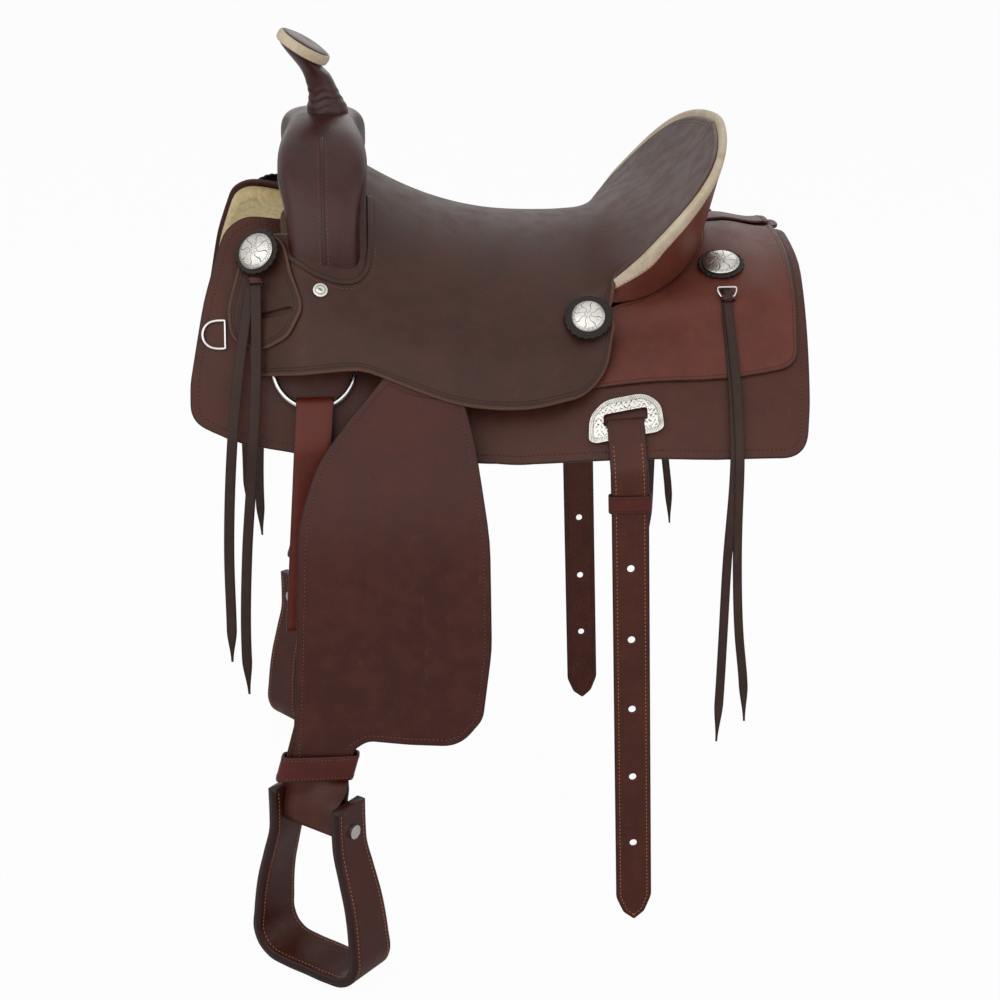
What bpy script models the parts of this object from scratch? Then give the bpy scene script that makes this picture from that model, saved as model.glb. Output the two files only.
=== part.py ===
# Western trail saddle: tree, leather covers, skirts, rigging, fenders and stirrups.
# Metres, +Z up, +X towards the horse's tail. The origin is on the centre plane, at the
# height of the horse's back under the seat. The near (left) side lies at -Y.

import math

import bpy
import bmesh
from mathutils import Matrix, Vector

# The saddle's underside, measured across the horse's back
withers_rise = 0.130        # height of the virtual ridge at the front
loin_rise = 0.022           # height of the ridge at the tail end
front_ridge_angle = 36.0    # slope just beside the ridge, degrees
rear_ridge_angle = 2.0
front_curl = 125.0          # extra slope per metre down the side, degrees
rear_curl = 190.0
ridge_radius = 0.020
grid_x = 0.050
grid_v = 0.035

# Leather, fleece and clearances
clearance = 0.0004
fleece_thick = 0.0160
skirt_thick = 0.0046
seat_leather = 0.0046
jockey_leather = 0.0036
strap_leather = 0.0032
fender_leather = 0.0036
string_thick = 0.0024
front_string_height = 0.0394
fleece_inset = 0.004

# Tree
bar_thick = 0.0246
bar_tail_thick = 0.0096
bar_inner = 0.055
bar_outer = 0.160
bar_front = -0.245
bar_rear = 0.265
bar_nose_thick = 0.0060
bar_tip_thick = 0.0006
bar_rear_outer = 0.112
groove_deep = 0.0076
groove_top = 0.0040
fork_x = -0.198
fork_half_width = 0.138
fork_foot_z = 0.035
fork_crown_z = 0.160
fork_radial = 0.0205
fork_depth_top = 0.033
fork_depth_mid = 0.044
fork_depth_foot = 0.034
cover_leather = 0.0035

# Horn
horn_cap_x = -0.216
horn_cap_z = 0.2545
horn_cap_radius = 0.0252
horn_cap_thick = 0.0060
horn_tilt = 31.0
horn_sides = 14
horn_wrap = 0.0030
horn_band_width = 0.0115
horn_band_thick = 0.0030

# Seat
seat_front = -0.147
seat_front_z = 0.118
seat_low_z = 0.062
seat_low_x = 0.050
seat_shoulder = 0.066
seat_rear_shoulder = 0.0565
flap_front_height = 0.0262
flap_rear_height = 0.0302
flap_cover_v = 0.197        # the fender reaches this far up under the flap
ground_seat_thick = 0.0045
seat_step_x = 0.025
seat_step_v = 0.035

# Cantle
rim_foot_x = 0.098
rim_foot_z = 0.0075
rim_foot_half = 0.150
rim_top_x = 0.2486
rim_top_z = 0.1666
rim_half = 0.177
cantle_seam_x = 0.226
cantle_seam_half = 0.142
cantle_leather = 0.0036
board_thick = 0.014
band_depth = 0.018
band_thick = 0.009
band_rise = 0.004
cantle_proud = 0.0015
dish_setback = 0.0085
dish_v = 0.140

# Fender, stirrup leather and stirrup
fender_slope = 63.0
fender_end_slope = 86.0
fender_bend_start = 0.235
fender_bend_length = 0.100
leather_x = -0.070
leather_lean = 0.272
leather_width = 0.074
leather_v = 0.105
hobble_s = 0.535
hobble_height = 0.030
bolt_s = 0.612
bolt_x = -0.222
bolt_radius = 0.0040
sleeve_radius = 0.0100
bolt_head_radius = 0.0080
bolt_head_thick = 0.0040
bolt_clearance = 0.0006
stirrup_twist = 40.0
stirrup_width = 0.150
stirrup_neck = 0.078
stirrup_height = 0.180
stirrup_thick = 0.011
stirrup_tread_thick = 0.014
stirrup_depth_top = 0.046
stirrup_depth_tread = 0.060
stirrup_ear = 0.030

# Rigging and straps
ring_x = -0.212
ring_v = 0.237
ring_radius = 0.043
ring_wire = 0.0030
ring_pieces = 24
latigo_width = 0.040
latigo_length = 0.245
latigo_leave = 0.045
latigo_lean = 0.074
plate_x = 0.116
plate_v = 0.264
plate_width = 0.080
plate_height = 0.042
plate_thick = 0.0020
billet_width = 0.040
billet_length = 0.590
billet_fold = 0.092
billet_point = 0.030
billet_tip_to_hole = 0.100
slot_half_height = 0.006
billet_lean = 0.030
hole_radius = 0.0040
hole_pitch = 0.084
hole_count = 5
keeper_above_fold = 0.002
keeper_height = 0.020
keeper_leather = 0.0026
holder_leather = 0.0030
holder_lift = 0.0008
dee_x = -0.3055
dee_v = 0.223
dee_length = 0.030
dee_reach = 0.024
dee_wire = 0.0016

# Ornaments
front_concho_at = (-0.262, 0.137)
cantle_concho_at = (0.082, 0.166)
rear_concho_at = (0.235, 0.103)
screw_at = (-0.203, fork_half_width + 0.029)
front_concho_radius = 0.0205
cantle_concho_radius = 0.0180
concho_height = 0.0065
rosette_radius = 0.0260
rosette_thick = 0.0032
rosette_scallops = 20
screw_radius = 0.0080

skirt_top = fleece_thick + clearance + skirt_thick
leather_stack = 2 * strap_leather + clearance
fender_stack = leather_stack + fender_leather + 3 * clearance
leather_colours = {
    'seat': (0.048, 0.026, 0.022),
    'skirt': (0.062, 0.027, 0.021),
    'jockey': (0.140, 0.045, 0.036),
    'fender': (0.052, 0.016, 0.013),
    'strap': (0.090, 0.020, 0.014),
    'latigo': (0.170, 0.034, 0.022),
    'string': (0.050, 0.028, 0.022),
    'rosette': (0.025, 0.020, 0.018),
}


def smooth(start, end, value):
    """0 before start, 1 after end, and 3 t^2 - 2 t^3 between them."""
    t = min(max((value - start) / (end - start), 0.0), 1.0)
    return t * t * (3.0 - 2.0 * t)


def mix(a, b, t):
    return a + (b - a) * t


def clear_scene():
    for item in list(bpy.data.objects):
        bpy.data.objects.remove(item, do_unlink=True)


def new_collection(name):
    found = bpy.data.collections.new(name)
    bpy.context.scene.collection.children.link(found)
    return found


clear_scene()
saddle = new_collection('trail_saddle')
cutters = new_collection('cutters')
material_store = {}


def material(name, colour, roughness, metallic=0.0):
    """A Principled material, made once for each name."""
    if name not in material_store:
        made = bpy.data.materials.new(name)
        made.use_nodes = True
        shader = made.node_tree.nodes['Principled BSDF']
        shader.inputs['Base Color'].default_value = (*colour, 1.0)
        shader.inputs['Roughness'].default_value = roughness
        shader.inputs['Metallic'].default_value = metallic
        material_store[name] = made
    return material_store[name]


def leather(kind):
    return material('leather_' + kind, leather_colours[kind], 0.5)


def chrome():
    return material('chrome', (0.80, 0.80, 0.78), 0.15, 1.0)


def silver():
    return material('engraved_silver', (0.78, 0.75, 0.70), 0.3, 1.0)


def rawhide():
    return material('rawhide', (0.60, 0.48, 0.34), 0.6)


def wood():
    return material('tree_wood', (0.50, 0.36, 0.22), 0.8)


def add_object(name, bm, look, target=None):
    """Turn a bmesh into a named object with its faces pointing out."""
    bmesh.ops.remove_doubles(bm, verts=bm.verts[:], dist=1e-6)
    bmesh.ops.recalc_face_normals(bm, faces=bm.faces[:])
    mesh = bpy.data.meshes.new(name)
    bm.to_mesh(mesh)
    bm.free()
    mesh.shade_smooth()
    mesh.set_sharp_from_angle(angle=math.radians(40))
    made = bpy.data.objects.new(name, mesh)
    if look:
        mesh.materials.append(look)
    (target or saddle).objects.link(made)
    return made


# The saddle's underside

def ridge(x):
    """Slope beside the ridge, slope gained per metre, and the ridge's height at x."""
    t = smooth(-0.36, 0.17, x)
    start = math.radians(mix(front_ridge_angle, rear_ridge_angle, t))
    gain = math.radians(mix(front_curl, rear_curl, t))
    height = withers_rise * (1 - smooth(-0.34, 0.02, x)) + loin_rise * smooth(0.0, 0.33, x)
    return start, gain, height


def section_slope(x, v):
    start, gain, _ = ridge(x)
    return start * (1 - math.exp(-v / ridge_radius)) + gain * v


def section(x, v, steps=24):
    """Half width, height and slope of the underside, v metres down the side at x."""
    y = 0.0
    z = ridge(x)[2]
    step = v / steps
    for k in range(steps):
        slope = section_slope(x, (k + 0.5) * step)
        y += math.cos(slope) * step
        z -= math.sin(slope) * step
    return y, z, section_slope(x, v)


section_cache = {}


def grid_node(i, j):
    """The underside at a grid crossing, as (y, z, normal y, normal z)."""
    if (i, j) not in section_cache:
        y, z, slope = section(i * grid_x, j * grid_v)
        section_cache[(i, j)] = (y, z, math.sin(slope), math.cos(slope))
    return section_cache[(i, j)]


def grid_cell(x, v, step_x, step_v):
    """The three grid crossings round (x, v) with their weights; cells split on one diagonal."""
    i = math.floor(x / step_x + 1e-7)
    j = math.floor(v / step_v + 1e-7)
    s = x / step_x - i
    t = v / step_v - j
    if s >= t:
        return (i, j, 1 - s), (i + 1, j, s - t), (i + 1, j + 1, t)
    return (i, j, 1 - t), (i, j + 1, t - s), (i + 1, j + 1, s)


def back_section(x, v, h):
    """Half width and height at h above the underside; h is a number or a function of (x, v)."""
    y = 0.0
    z = 0.0
    for i, j, weight in grid_cell(x, v, grid_x, grid_v):
        node = grid_node(i, j)
        lift = h(i * grid_x, j * grid_v) if callable(h) else h
        y += weight * (node[0] + lift * node[2])
        z += weight * (node[1] + lift * node[3])
    return y, z


def back(x, v, h):
    """A point on the saddle: x along the horse, v down the side (minus is the near side)."""
    y, z = back_section(x, abs(v), h)
    return Vector((x, math.copysign(y, v) if v else 0.0, z))


# Flat outlines and the panels made from them

def fillet(corners, steps=4):
    """Round each (x, y, radius) corner of a closed outline with an arc."""
    ring = []
    count = len(corners)
    for k in range(count):
        px, py, _ = corners[k - 1]
        cx, cy, radius = corners[k]
        nx, ny, _ = corners[(k + 1) % count]
        before = Vector((px - cx, py - cy))
        after = Vector((nx - cx, ny - cy))
        turn = math.pi - before.angle(after)
        if radius <= 0 or turn < 0.02:
            ring.append((cx, cy))
            continue
        reach = radius * math.tan(turn / 2)
        reach = min(reach, before.length * 0.48, after.length * 0.48)
        start = Vector((cx, cy)) + before.normalized() * reach
        end = Vector((cx, cy)) + after.normalized() * reach
        pieces = max(1, round(steps * turn / 1.6))
        for m in range(pieces + 1):
            t = m / pieces
            point = start * (1 - t) ** 2 + Vector((cx, cy)) * 2 * t * (1 - t) + end * t * t
            ring.append((point.x, point.y))
    return ring


def flat_solid(outline, holes=()):
    """A flat slab between z -1 and +1 with the given outline, as a bmesh."""
    data = bpy.data.curves.new('outline', 'CURVE')
    data.dimensions = '2D'
    data.fill_mode = 'BOTH'
    data.extrude = 1.0
    for ring in (outline, *holes):
        spline = data.splines.new('POLY')
        spline.points.add(len(ring) - 1)
        for point, (x, y) in zip(spline.points, ring):
            point.co = (x, y, 0.0, 1.0)
        spline.use_cyclic_u = True
    guide = bpy.data.objects.new('outline', data)
    cutters.objects.link(guide)
    bpy.context.view_layer.update()
    graph = bpy.context.evaluated_depsgraph_get()
    mesh = bpy.data.meshes.new_from_object(guide.evaluated_get(graph))
    bm = bmesh.new()
    bm.from_mesh(mesh)
    bpy.data.objects.remove(guide, do_unlink=True)
    bmesh.ops.remove_doubles(bm, verts=bm.verts[:], dist=1e-6)
    flat_edges = [e for e in bm.edges if abs(e.verts[0].co.z - e.verts[1].co.z) < 1e-6]
    inner = [e for e in flat_edges if len(e.link_faces) == 2 and abs(e.calc_face_angle(1.0)) < 1e-4]
    bmesh.ops.dissolve_edges(bm, edges=inner, use_verts=False)
    return bm


def split_along(bm, place, normal, side=0):
    """Split the faces along a plane, or only those on one side of the centre plane."""
    faces = [f for f in bm.faces if not side or f.calc_center_median().y * side > 0]
    edges = {e for f in faces for e in f.edges}
    verts = {v for f in faces for v in f.verts}
    geometry = list(verts) + list(edges) + faces
    bmesh.ops.bisect_plane(bm, geom=geometry, dist=2e-6, plane_co=place, plane_no=normal)


def grid_cut(bm, x_lines, y_lines):
    """Split every face along the grid lines."""
    for value in x_lines:
        split_along(bm, (value, 0.0, 0.0), (1.0, 0.0, 0.0))
    for value in y_lines:
        split_along(bm, (0.0, value, 0.0), (0.0, 1.0, 0.0))


def diagonal_cut(bm, step_x, step_y):
    """Split the grid's cells along their diagonals, mirrored about the centre plane."""
    for side in (1, -1):
        levels = [side * v.co.y / step_y - v.co.x / step_x for v in bm.verts if v.co.y * side > -1e-6]
        if not levels:
            continue
        for k in range(math.ceil(min(levels)), math.floor(max(levels)) + 1):
            normal = Vector((-1 / step_x, side / step_y, 0.0)).normalized()
            split_along(bm, (0.0, side * k * step_y, 0.0), normal, side)


def lines_between(start, end, step):
    first = math.ceil(start / step - 1e-6)
    last = math.floor(end / step + 1e-6)
    return [k * step for k in range(first, last + 1)]


def panel(name, outline, low, high, look, place=back, holes=(), steps=(grid_x, grid_v), target=None):
    """A sheet with this outline, bent by place(x, v, h), between heights low and high."""
    bm = flat_solid(outline, holes)
    xs = [p[0] for p in outline]
    ys = [p[1] for p in outline]
    grid_cut(bm, lines_between(min(xs), max(xs), steps[0]), lines_between(min(ys), max(ys), steps[1]))
    diagonal_cut(bm, steps[0], steps[1])
    bmesh.ops.triangulate(bm, faces=[f for f in bm.faces if len(f.verts) > 3])
    for vert in bm.verts:
        x, v, level = vert.co
        vert.co = place(x, v, high if level > 0 else low)
    return add_object(name, bm, look, target)


def sided(place, side):
    """The same placing function, mirrored to the near side when side is -1."""
    def placed(x, v, h):
        point = place(x, v, h)
        return Vector((point.x, point.y * side, point.z))
    return placed


def ribbon_side(a, b, c, d):
    """Two triangles for the quad a-b-c-d, split from its higher first edge to the far corner."""
    if a.co.z + b.co.z > c.co.z + d.co.z:
        return (a, b, c), (a, c, d)
    return (a, b, d), (b, c, d)


def loft(name, rings, look, closed=False, target=None, ribbed=False):
    """Join equal rings of points into one skin, capped at both ends unless closed."""
    bm = bmesh.new()
    made = [[bm.verts.new(p) for p in ring] for ring in rings]
    count = len(rings[0])
    pairs = list(zip(made, made[1:]))
    if closed:
        pairs.append((made[-1], made[0]))
    for first, second in pairs:
        for k in range(count):
            quad = (first[k], first[(k + 1) % count], second[(k + 1) % count], second[k])
            if ribbed and k == 0:
                for face in ribbon_side(*quad):
                    bm.faces.new(face)
            elif ribbed and k == 2:
                for face in ribbon_side(quad[1], quad[0], quad[3], quad[2]):
                    bm.faces.new(face[::-1])
            else:
                bm.faces.new(quad)
    if not closed:
        bm.faces.new(made[0])
        bm.faces.new(made[-1][::-1])
    return add_object(name, bm, look, target)


def turned(name, profile, look, segments, place, target=None, closed=False):
    """Spin an (r, z) profile, listed from the top down, with a Screw modifier and place it."""
    mesh = bpy.data.meshes.new(name)
    edges = [(k, k + 1) for k in range(len(profile) - 1)]
    if closed:
        edges.append((len(profile) - 1, 0))
    mesh.from_pydata([(r, 0.0, z) for r, z in profile], edges, [])
    made = bpy.data.objects.new(name, mesh)
    (target or saddle).objects.link(made)
    screw = made.modifiers.new('turn', 'SCREW')
    screw.steps = segments
    screw.render_steps = segments
    screw.use_merge_vertices = True
    screw.merge_threshold = 0.00001
    made.matrix_world = place
    if look:
        mesh.materials.append(look)
    return made


def wire(name, points, radius, look, closed=True, sides=2):
    """A round wire through the points, as a POLY curve with filled caps."""
    data = bpy.data.curves.new(name, 'CURVE')
    data.dimensions = '3D'
    data.bevel_depth = radius
    data.bevel_resolution = sides
    data.use_fill_caps = True
    spline = data.splines.new('POLY')
    spline.points.add(len(points) - 1)
    for target, point in zip(spline.points, points):
        target.co = (*point, 1.0)
    spline.use_cyclic_u = closed
    made = bpy.data.objects.new(name, data)
    data.materials.append(look)
    saddle.objects.link(made)
    return made


def cut(made, cutter):
    """Take the cutter's volume out of an object, and hide the cutter."""
    cutter.hide_render = True
    cutter.display_type = 'WIRE'
    change = made.modifiers.new('cut', 'BOOLEAN')
    change.operation = 'DIFFERENCE'
    change.solver = 'EXACT'
    change.object = cutter


def frame_matrix(origin, normal, along=Vector((1.0, 0.0, 0.0))):
    """A placing matrix with +Z on the normal and +X as near as possible to along."""
    up = normal.normalized()
    first = (along - up * along.dot(up)).normalized()
    second = up.cross(first)
    turn = Matrix((first, second, up)).transposed().to_4x4()
    return Matrix.Translation(origin) @ turn


def true_normal(place, x, v, h):
    """The outward normal of a placed surface at x and v."""
    step = 0.004
    along = place(x + step, v, h) - place(x - step, v, h)
    across = place(x, v + step, h) - place(x, v - step, h)
    return along.cross(across).normalized()


def mirrored(point, side):
    return Vector((point.x, point.y * side, point.z))


def side_frame(origin, normal, side):
    """A placing matrix for a piece given on the far side, mirrored when side is -1."""
    return frame_matrix(mirrored(origin, side), mirrored(normal, side))


def ribbon(name, spine, across, thick, look, side, closed=False):
    """A strap along the spine; across holds half its width vector at each station."""
    count = len(spine)
    rings = []
    for k in range(count):
        before = spine[k - 1] if k or closed else spine[0]
        after = spine[(k + 1) % count] if k < count - 1 or closed else spine[-1]
        first = spine[k] - before
        second = after - spine[k]
        first = (first if first.length > 1e-9 else second).normalized()
        second = (second if second.length > 1e-9 else first).normalized()
        run = (first + second).normalized()
        normal = across[k].cross(run).normalized()
        reach = thick / 2 / max(run.dot(first), 0.6)
        edges = (spine[k] - across[k], spine[k] + across[k])
        rings.append([mirrored(p, side) for p in (edges[0] - normal * reach, edges[1] - normal * reach,
                                                 edges[1] + normal * reach, edges[0] + normal * reach)])
    return loft(name, rings, look, closed=closed, ribbed=True)


# Heights of the layers over the underside

def groove(x):
    """1 where the stirrup leather crosses the bar, 0 outside its groove."""
    return smooth(-0.20, -0.15, x) * (1 - smooth(0.0, 0.05, x))


def bar_top(x, v=0.0):
    thick = mix(bar_thick, bar_tail_thick, smooth(0.05, 0.15, x))
    thick = mix(thick, bar_tip_thick, smooth(0.25, 0.30, x))
    thick = mix(bar_nose_thick, thick, smooth(-0.245, -0.200, x))
    return skirt_top + clearance + thick - groove_top * groove(x)


def bar_bottom(x, v=0.0):
    return skirt_top + clearance + groove_deep * groove(x)


def jockey_bottom(x, v):
    """Underside of the rear jockey: over the bars near the cantle, on the skirt elsewhere."""
    over = 1 - smooth(4 * grid_v, 5 * grid_v, abs(v))
    return mix(skirt_top, bar_top(x), over) + clearance


def jockey_top(x, v):
    return jockey_bottom(x, v) + jockey_leather


# Seat surface

def seat_line(x):
    """Height of the seat along the centre plane."""
    if x < seat_low_x:
        t = (seat_low_x - x) / (seat_low_x - seat_front)
        return seat_low_z + (seat_front_z - seat_low_z) * t ** 2.2
    t = (x - seat_low_x) / (rim_top_x - dish_setback - seat_low_x)
    return seat_low_z + (rim_top_z - seat_low_z) * t ** 2.5


def seat_bulge(x):
    """1 where the flap rides over the fender."""
    return smooth(-0.285, -0.215, x) * (1 - smooth(0.045, 0.105, x))


def seat_height(x, v):
    """Height of the seat's outer face over the underside."""
    a = abs(v)
    shoulder = mix(seat_shoulder, seat_rear_shoulder, smooth(0.0, 0.08, x))
    rest = mix(flap_front_height, flap_rear_height, smooth(-0.2, 0.0, x))
    shoulder = mix(rest, shoulder, smooth(-0.275, -0.215, x))
    crown = mix(seat_line(max(x, seat_front)) - ridge(max(x, seat_front))[2], shoulder, smooth(0.0, 0.13, a))
    bulge = seat_bulge(x)
    lifted = plane_height(x, max(a, flap_cover_v)) + fender_stack + seat_leather
    edge = mix(rest, lifted, bulge)
    drop = mix(smooth(0.14, 0.24, a), smooth(0.13, 0.195, a), bulge)
    return mix(crown, edge, drop)


def rim_half_at(t):
    """Half width of the cantle rim, t from its foot (0) to its top (1)."""
    full = rim_half * max(1 - t ** 6.3, 0.0) ** 0.625
    return full - (rim_half - rim_foot_half) * (1 - smooth(0.0, 0.38, t))


def rim_at(t):
    return Vector((mix(rim_foot_x, rim_top_x, t), rim_half_at(t), mix(rim_foot_z, rim_top_z, t)))


def dish_rim(t):
    """The seat's edge inside the cantle rim: a band's thickness ahead of it."""
    outer = rim_at(t)
    return Vector((outer.x - dish_setback, max(outer.y - dish_setback, 0.0), outer.z - 0.001))


def dish_share(x):
    """The rim's parameter where the seat's edge passes x."""
    return min(max((x + dish_setback - rim_foot_x) / (rim_top_x - rim_foot_x), 0.0), 1.0)


def seat_outer(x, v):
    """The seat's outer face at x and v; behind the seat's low point it runs up to the rim."""
    slope_point = back_smooth(x, v, seat_height(x, v))
    below = smooth(dish_v, dish_v + 0.015, abs(v)) * (1 - smooth(0.109, 0.114, x))
    if x <= 0.06 or below == 1:
        return slope_point
    edge = dish_rim(dish_share(x))
    y = v * rim_foot_half / dish_v
    share = min(abs(y) / max(edge.y, 0.02), 1.0)
    dish = Vector((x, y, mix(seat_line(x), edge.z, share * share)))
    blend = smooth(0.06, 0.12, x) * (1 - below)
    return slope_point.lerp(dish, blend)


def back_smooth(x, v, h):
    y, z, slope = section(x, abs(v))
    y += h * math.sin(slope)
    z += h * math.cos(slope)
    return Vector((x, math.copysign(y, v) if v else 0.0, z))


def seat_normal(x, v):
    step = 0.002
    along = seat_outer(x + step, v) - seat_outer(x - step, v)
    across = seat_outer(x, v + step) - seat_outer(x, v - step)
    return along.cross(across).normalized()


seat_nodes = {}


def seat_node(i, j):
    if (i, j) not in seat_nodes:
        x, v = i * seat_step_x, j * seat_step_v
        seat_nodes[(i, j)] = (seat_outer(x, v), seat_normal(x, v))
    return seat_nodes[(i, j)]


def seat_point(x, v, depth):
    """A point depth metres under the seat's outer face (minus is above it)."""
    a = abs(v)
    if x > 8 * seat_step_x + 1e-6 or (x > 0.05 and a > 3 * seat_step_v + 1e-6):
        return seat_outer(x, v) - seat_normal(x, v) * depth
    point = Vector()
    for i, j, weight in grid_cell(x, a, seat_step_x, seat_step_v):
        outer, normal = seat_node(i, j)
        point += (outer - normal * depth) * weight
    return Vector((point.x, math.copysign(point.y, v) if v else 0.0, point.z))


def seat_outline():
    """Both sides of the seat's outline in (x, v), with the cut round the fork."""
    half = [(-0.160, 0.030), (-0.163, 0.075), (-0.172, 0.105), (-0.190, 0.118), (-0.205, 0.120),
            (-0.222, 0.118),
            (-0.240, 0.113)]
    lower = fillet([(-0.250, 0.112, 0.0), (-0.272, 0.112, 0.020), (-0.281, 0.190, 0.10),
                    (-0.279, 0.262, 0.012),
                    (-0.225, 0.252, 0.12), (-0.160, 0.229, 0.10), (-0.125, 0.233, 0.10),
                    (-0.060, 0.241, 0.30),
                    (0.030, 0.244, 0.20), (0.074, 0.240, 0.05), (0.100, 0.215, 0.05), (0.109, 0.175, 0.03),
                    (0.106, 0.158, 0.0)])
    rim = []
    for t in (0.10, 0.20, 0.32, 0.45, 0.58, 0.70, 0.80, 0.88, 0.94, 0.97, 0.985, 0.996):
        edge = dish_rim(t)
        rim.append((edge.x, edge.y * dish_v / rim_foot_half))
    ring = half + lower + rim
    return ring + [(x, -v) for x, v in reversed(ring)]


# Tree

def bar_outline():
    return fillet([(bar_front, 0.075, 0.02), (bar_front + 0.035, bar_inner, 0.05), (0.02, bar_inner, 0.5),
                   (bar_rear - 0.04, bar_inner - 0.012, 0.04), (bar_rear, 0.065, 0.02),
                   (bar_rear - 0.01, bar_rear_outer - 0.012, 0.02), (bar_rear - 0.05, bar_rear_outer, 0.05),
                   (0.085, bar_rear_outer, 0.05), (0.040, bar_outer, 0.05),
                   (bar_front + 0.060, bar_outer, 0.05), (bar_front + 0.015, 0.128, 0.03),
                   (bar_front, 0.105, 0.02)])


def tree_cutter(name, side, x_range, v_range, top):
    outline = [(x_range[0], v_range[0]), (x_range[1], v_range[0]),
               (x_range[1], v_range[1]), (x_range[0], v_range[1])]
    return panel(name, outline, 0.001, top, None, sided(back, side), target=cutters)


def arch_path(offset, count=18):
    """Centreline of the fork's arch from near foot to far foot, moved out by offset."""
    points = []
    for k in range(count + 1):
        angle = math.radians(-90 + 180 * k / count)
        y = (fork_half_width + offset) * math.copysign(abs(math.sin(angle)) ** 0.87, angle)
        z = fork_foot_z + (fork_crown_z - fork_foot_z + offset) * abs(math.cos(angle)) ** 0.87
        points.append(Vector((fork_x, y, z)))
    return points


def fork_depth(y):
    share = abs(y) / fork_half_width
    rise = mix(fork_depth_top, fork_depth_mid, smooth(0.0, 0.62, share))
    return mix(rise, fork_depth_foot, smooth(0.70, 1.0, share))


def arch_rings(extra, sides=12, power=0.62):
    """Rounded sections along the fork's arch, extra metres larger all round."""
    path = arch_path(0.0)
    rings = []
    for k, point in enumerate(path):
        run = (path[min(k + 1, len(path) - 1)] - path[max(k - 1, 0)]).normalized()
        if k in (0, len(path) - 1):
            run = Vector((0.0, 0.0, 1.0 if k == 0 else -1.0))
        outward = Vector((0.0, -run.z, run.y))
        depth = fork_depth(point.y) + extra
        ring = []
        for m in range(sides):
            angle = 2 * math.pi * m / sides
            c, s = math.cos(angle), math.sin(angle)
            across = math.copysign(abs(c) ** power, c) * depth
            radial = math.copysign(abs(s) ** power, s) * (fork_radial + extra)
            ring.append(point + Vector((across, 0.0, 0.0)) + outward * radial)
        rings.append(ring)
    return rings


def build_tree():
    """Bars, fork, horn and cantle board."""
    for side, word in ((-1, 'left'), (1, 'right')):
        panel('bar_' + word, bar_outline(), bar_bottom, bar_top, wood(), sided(back, side))
    fork = loft('fork', arch_rings(0.0), wood())
    cover_rings = arch_rings(cover_leather + 2 * clearance)
    hollow = arch_rings(2 * clearance)
    cover = loft('swell_cover', cover_rings + hollow[::-1], leather('seat'), closed=True)
    for side, word in ((-1, 'left'), (1, 'right')):
        def over_bar(x, v):
            return skirt_top + 2 * clearance + bar_thick
        cutter = tree_cutter('fork_seat_' + word, side, (-0.26, -0.14), (0.03, 0.24), over_bar)
        cut(fork, cutter)
        cut(cover, cutter)
    build_horn()


def horn_frame():
    lean = math.radians(horn_tilt)
    return Vector((math.sin(lean), 0.0, math.cos(lean)))


def horn_rings(inset):
    """Sections of the horn, inset from its cover's skin: up its neck and over its domed cap."""
    normal = horn_frame()
    centre = Vector((horn_cap_x, 0.0, horn_cap_z))
    radius = horn_cap_radius + horn_wrap - inset
    half = horn_cap_thick / 2 + horn_wrap - inset
    neck = ((-0.2146, 0.1740, -0.1680, 0.1740, 0.0212), (-0.2138, 0.1890, -0.1700, 0.1890, 0.0200),
            (-0.2118, 0.2010, -0.1760, 0.2000, 0.0175),
            (-0.2140, 0.2150, -0.1812, 0.2110, 0.0165), (-0.2200, 0.2310, -0.1870, 0.2230, 0.0180))
    rings = []
    for front_x, front_z, rear_x, rear_z, wide in neck:
        front = Vector((front_x, 0.0, front_z))
        rear = Vector((rear_x, 0.0, rear_z))
        reach = (rear - front) / 2
        along = reach.normalized() * (reach.length - inset)
        rings.append(((front + rear) / 2, along, Vector((0.0, wide - inset, 0.0))))
    in_plane = Vector((normal.z, 0.0, -normal.x))
    for level, reach in ((-half, radius - 0.0012 - 2 * inset), (-half * 0.4, radius), (half * 0.4, radius),
                         (half, radius - 0.002), (half + 0.0022, radius * 0.5)):
        rings.append((centre + normal * level, in_plane * reach, Vector((0.0, reach, 0.0))))
    angles = [2 * math.pi * m / horn_sides for m in range(horn_sides)]
    return [[middle + along * math.cos(a) + wide * math.sin(a) for a in angles]
            for middle, along, wide in rings]


def build_horn():
    """A metal horn bolted on the fork, its leather cover and the rawhide band round its cap."""
    skin = loft_shell('horn_cover', horn_rings(0.0), horn_rings(horn_wrap), leather('seat'))
    iron = material('horn_iron', (0.30, 0.30, 0.31), 0.5, 1.0)
    core = loft('horn', horn_rings(horn_wrap + clearance), iron)
    hole = loft('horn_hole', crown_rings(), None, target=cutters)
    cut(core, hole)
    cut(skin, hole)
    normal = horn_frame()
    half = horn_band_width / 2
    inner_r = horn_cap_radius + horn_wrap + clearance
    outer_r = inner_r + horn_band_thick
    profile = [(inner_r, half), (outer_r - 0.001, half), (outer_r, half - 0.001), (outer_r, 0.001 - half),
               (outer_r - 0.001, -half), (inner_r, -half)]
    place = frame_matrix(Vector((horn_cap_x, 0.0, horn_cap_z)), normal)
    turned('horn_binding', profile, rawhide(), 24, place, closed=True)


def crown_rings():
    """The swell cover's outer shape with a clearance, which the horn stands on."""
    return arch_rings(cover_leather + 3 * clearance)[6:13]


def loft_shell(name, outer, inner, look):
    """A shell between two capped lofts that is open at the first ring and closed at the last."""
    bm = bmesh.new()
    count = len(outer[0])
    skins = []
    for rings in (outer, inner):
        made = [[bm.verts.new(p) for p in ring] for ring in rings]
        for first, second in zip(made, made[1:]):
            for k in range(count):
                bm.faces.new((first[k], first[(k + 1) % count], second[(k + 1) % count], second[k]))
        bm.faces.new(made[-1])
        skins.append(made[0])
    for k in range(count):
        n = (k + 1) % count
        bm.faces.new((skins[0][k], skins[0][n], skins[1][n], skins[1][k]))
    return add_object(name, bm, look)


# Cantle

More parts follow.
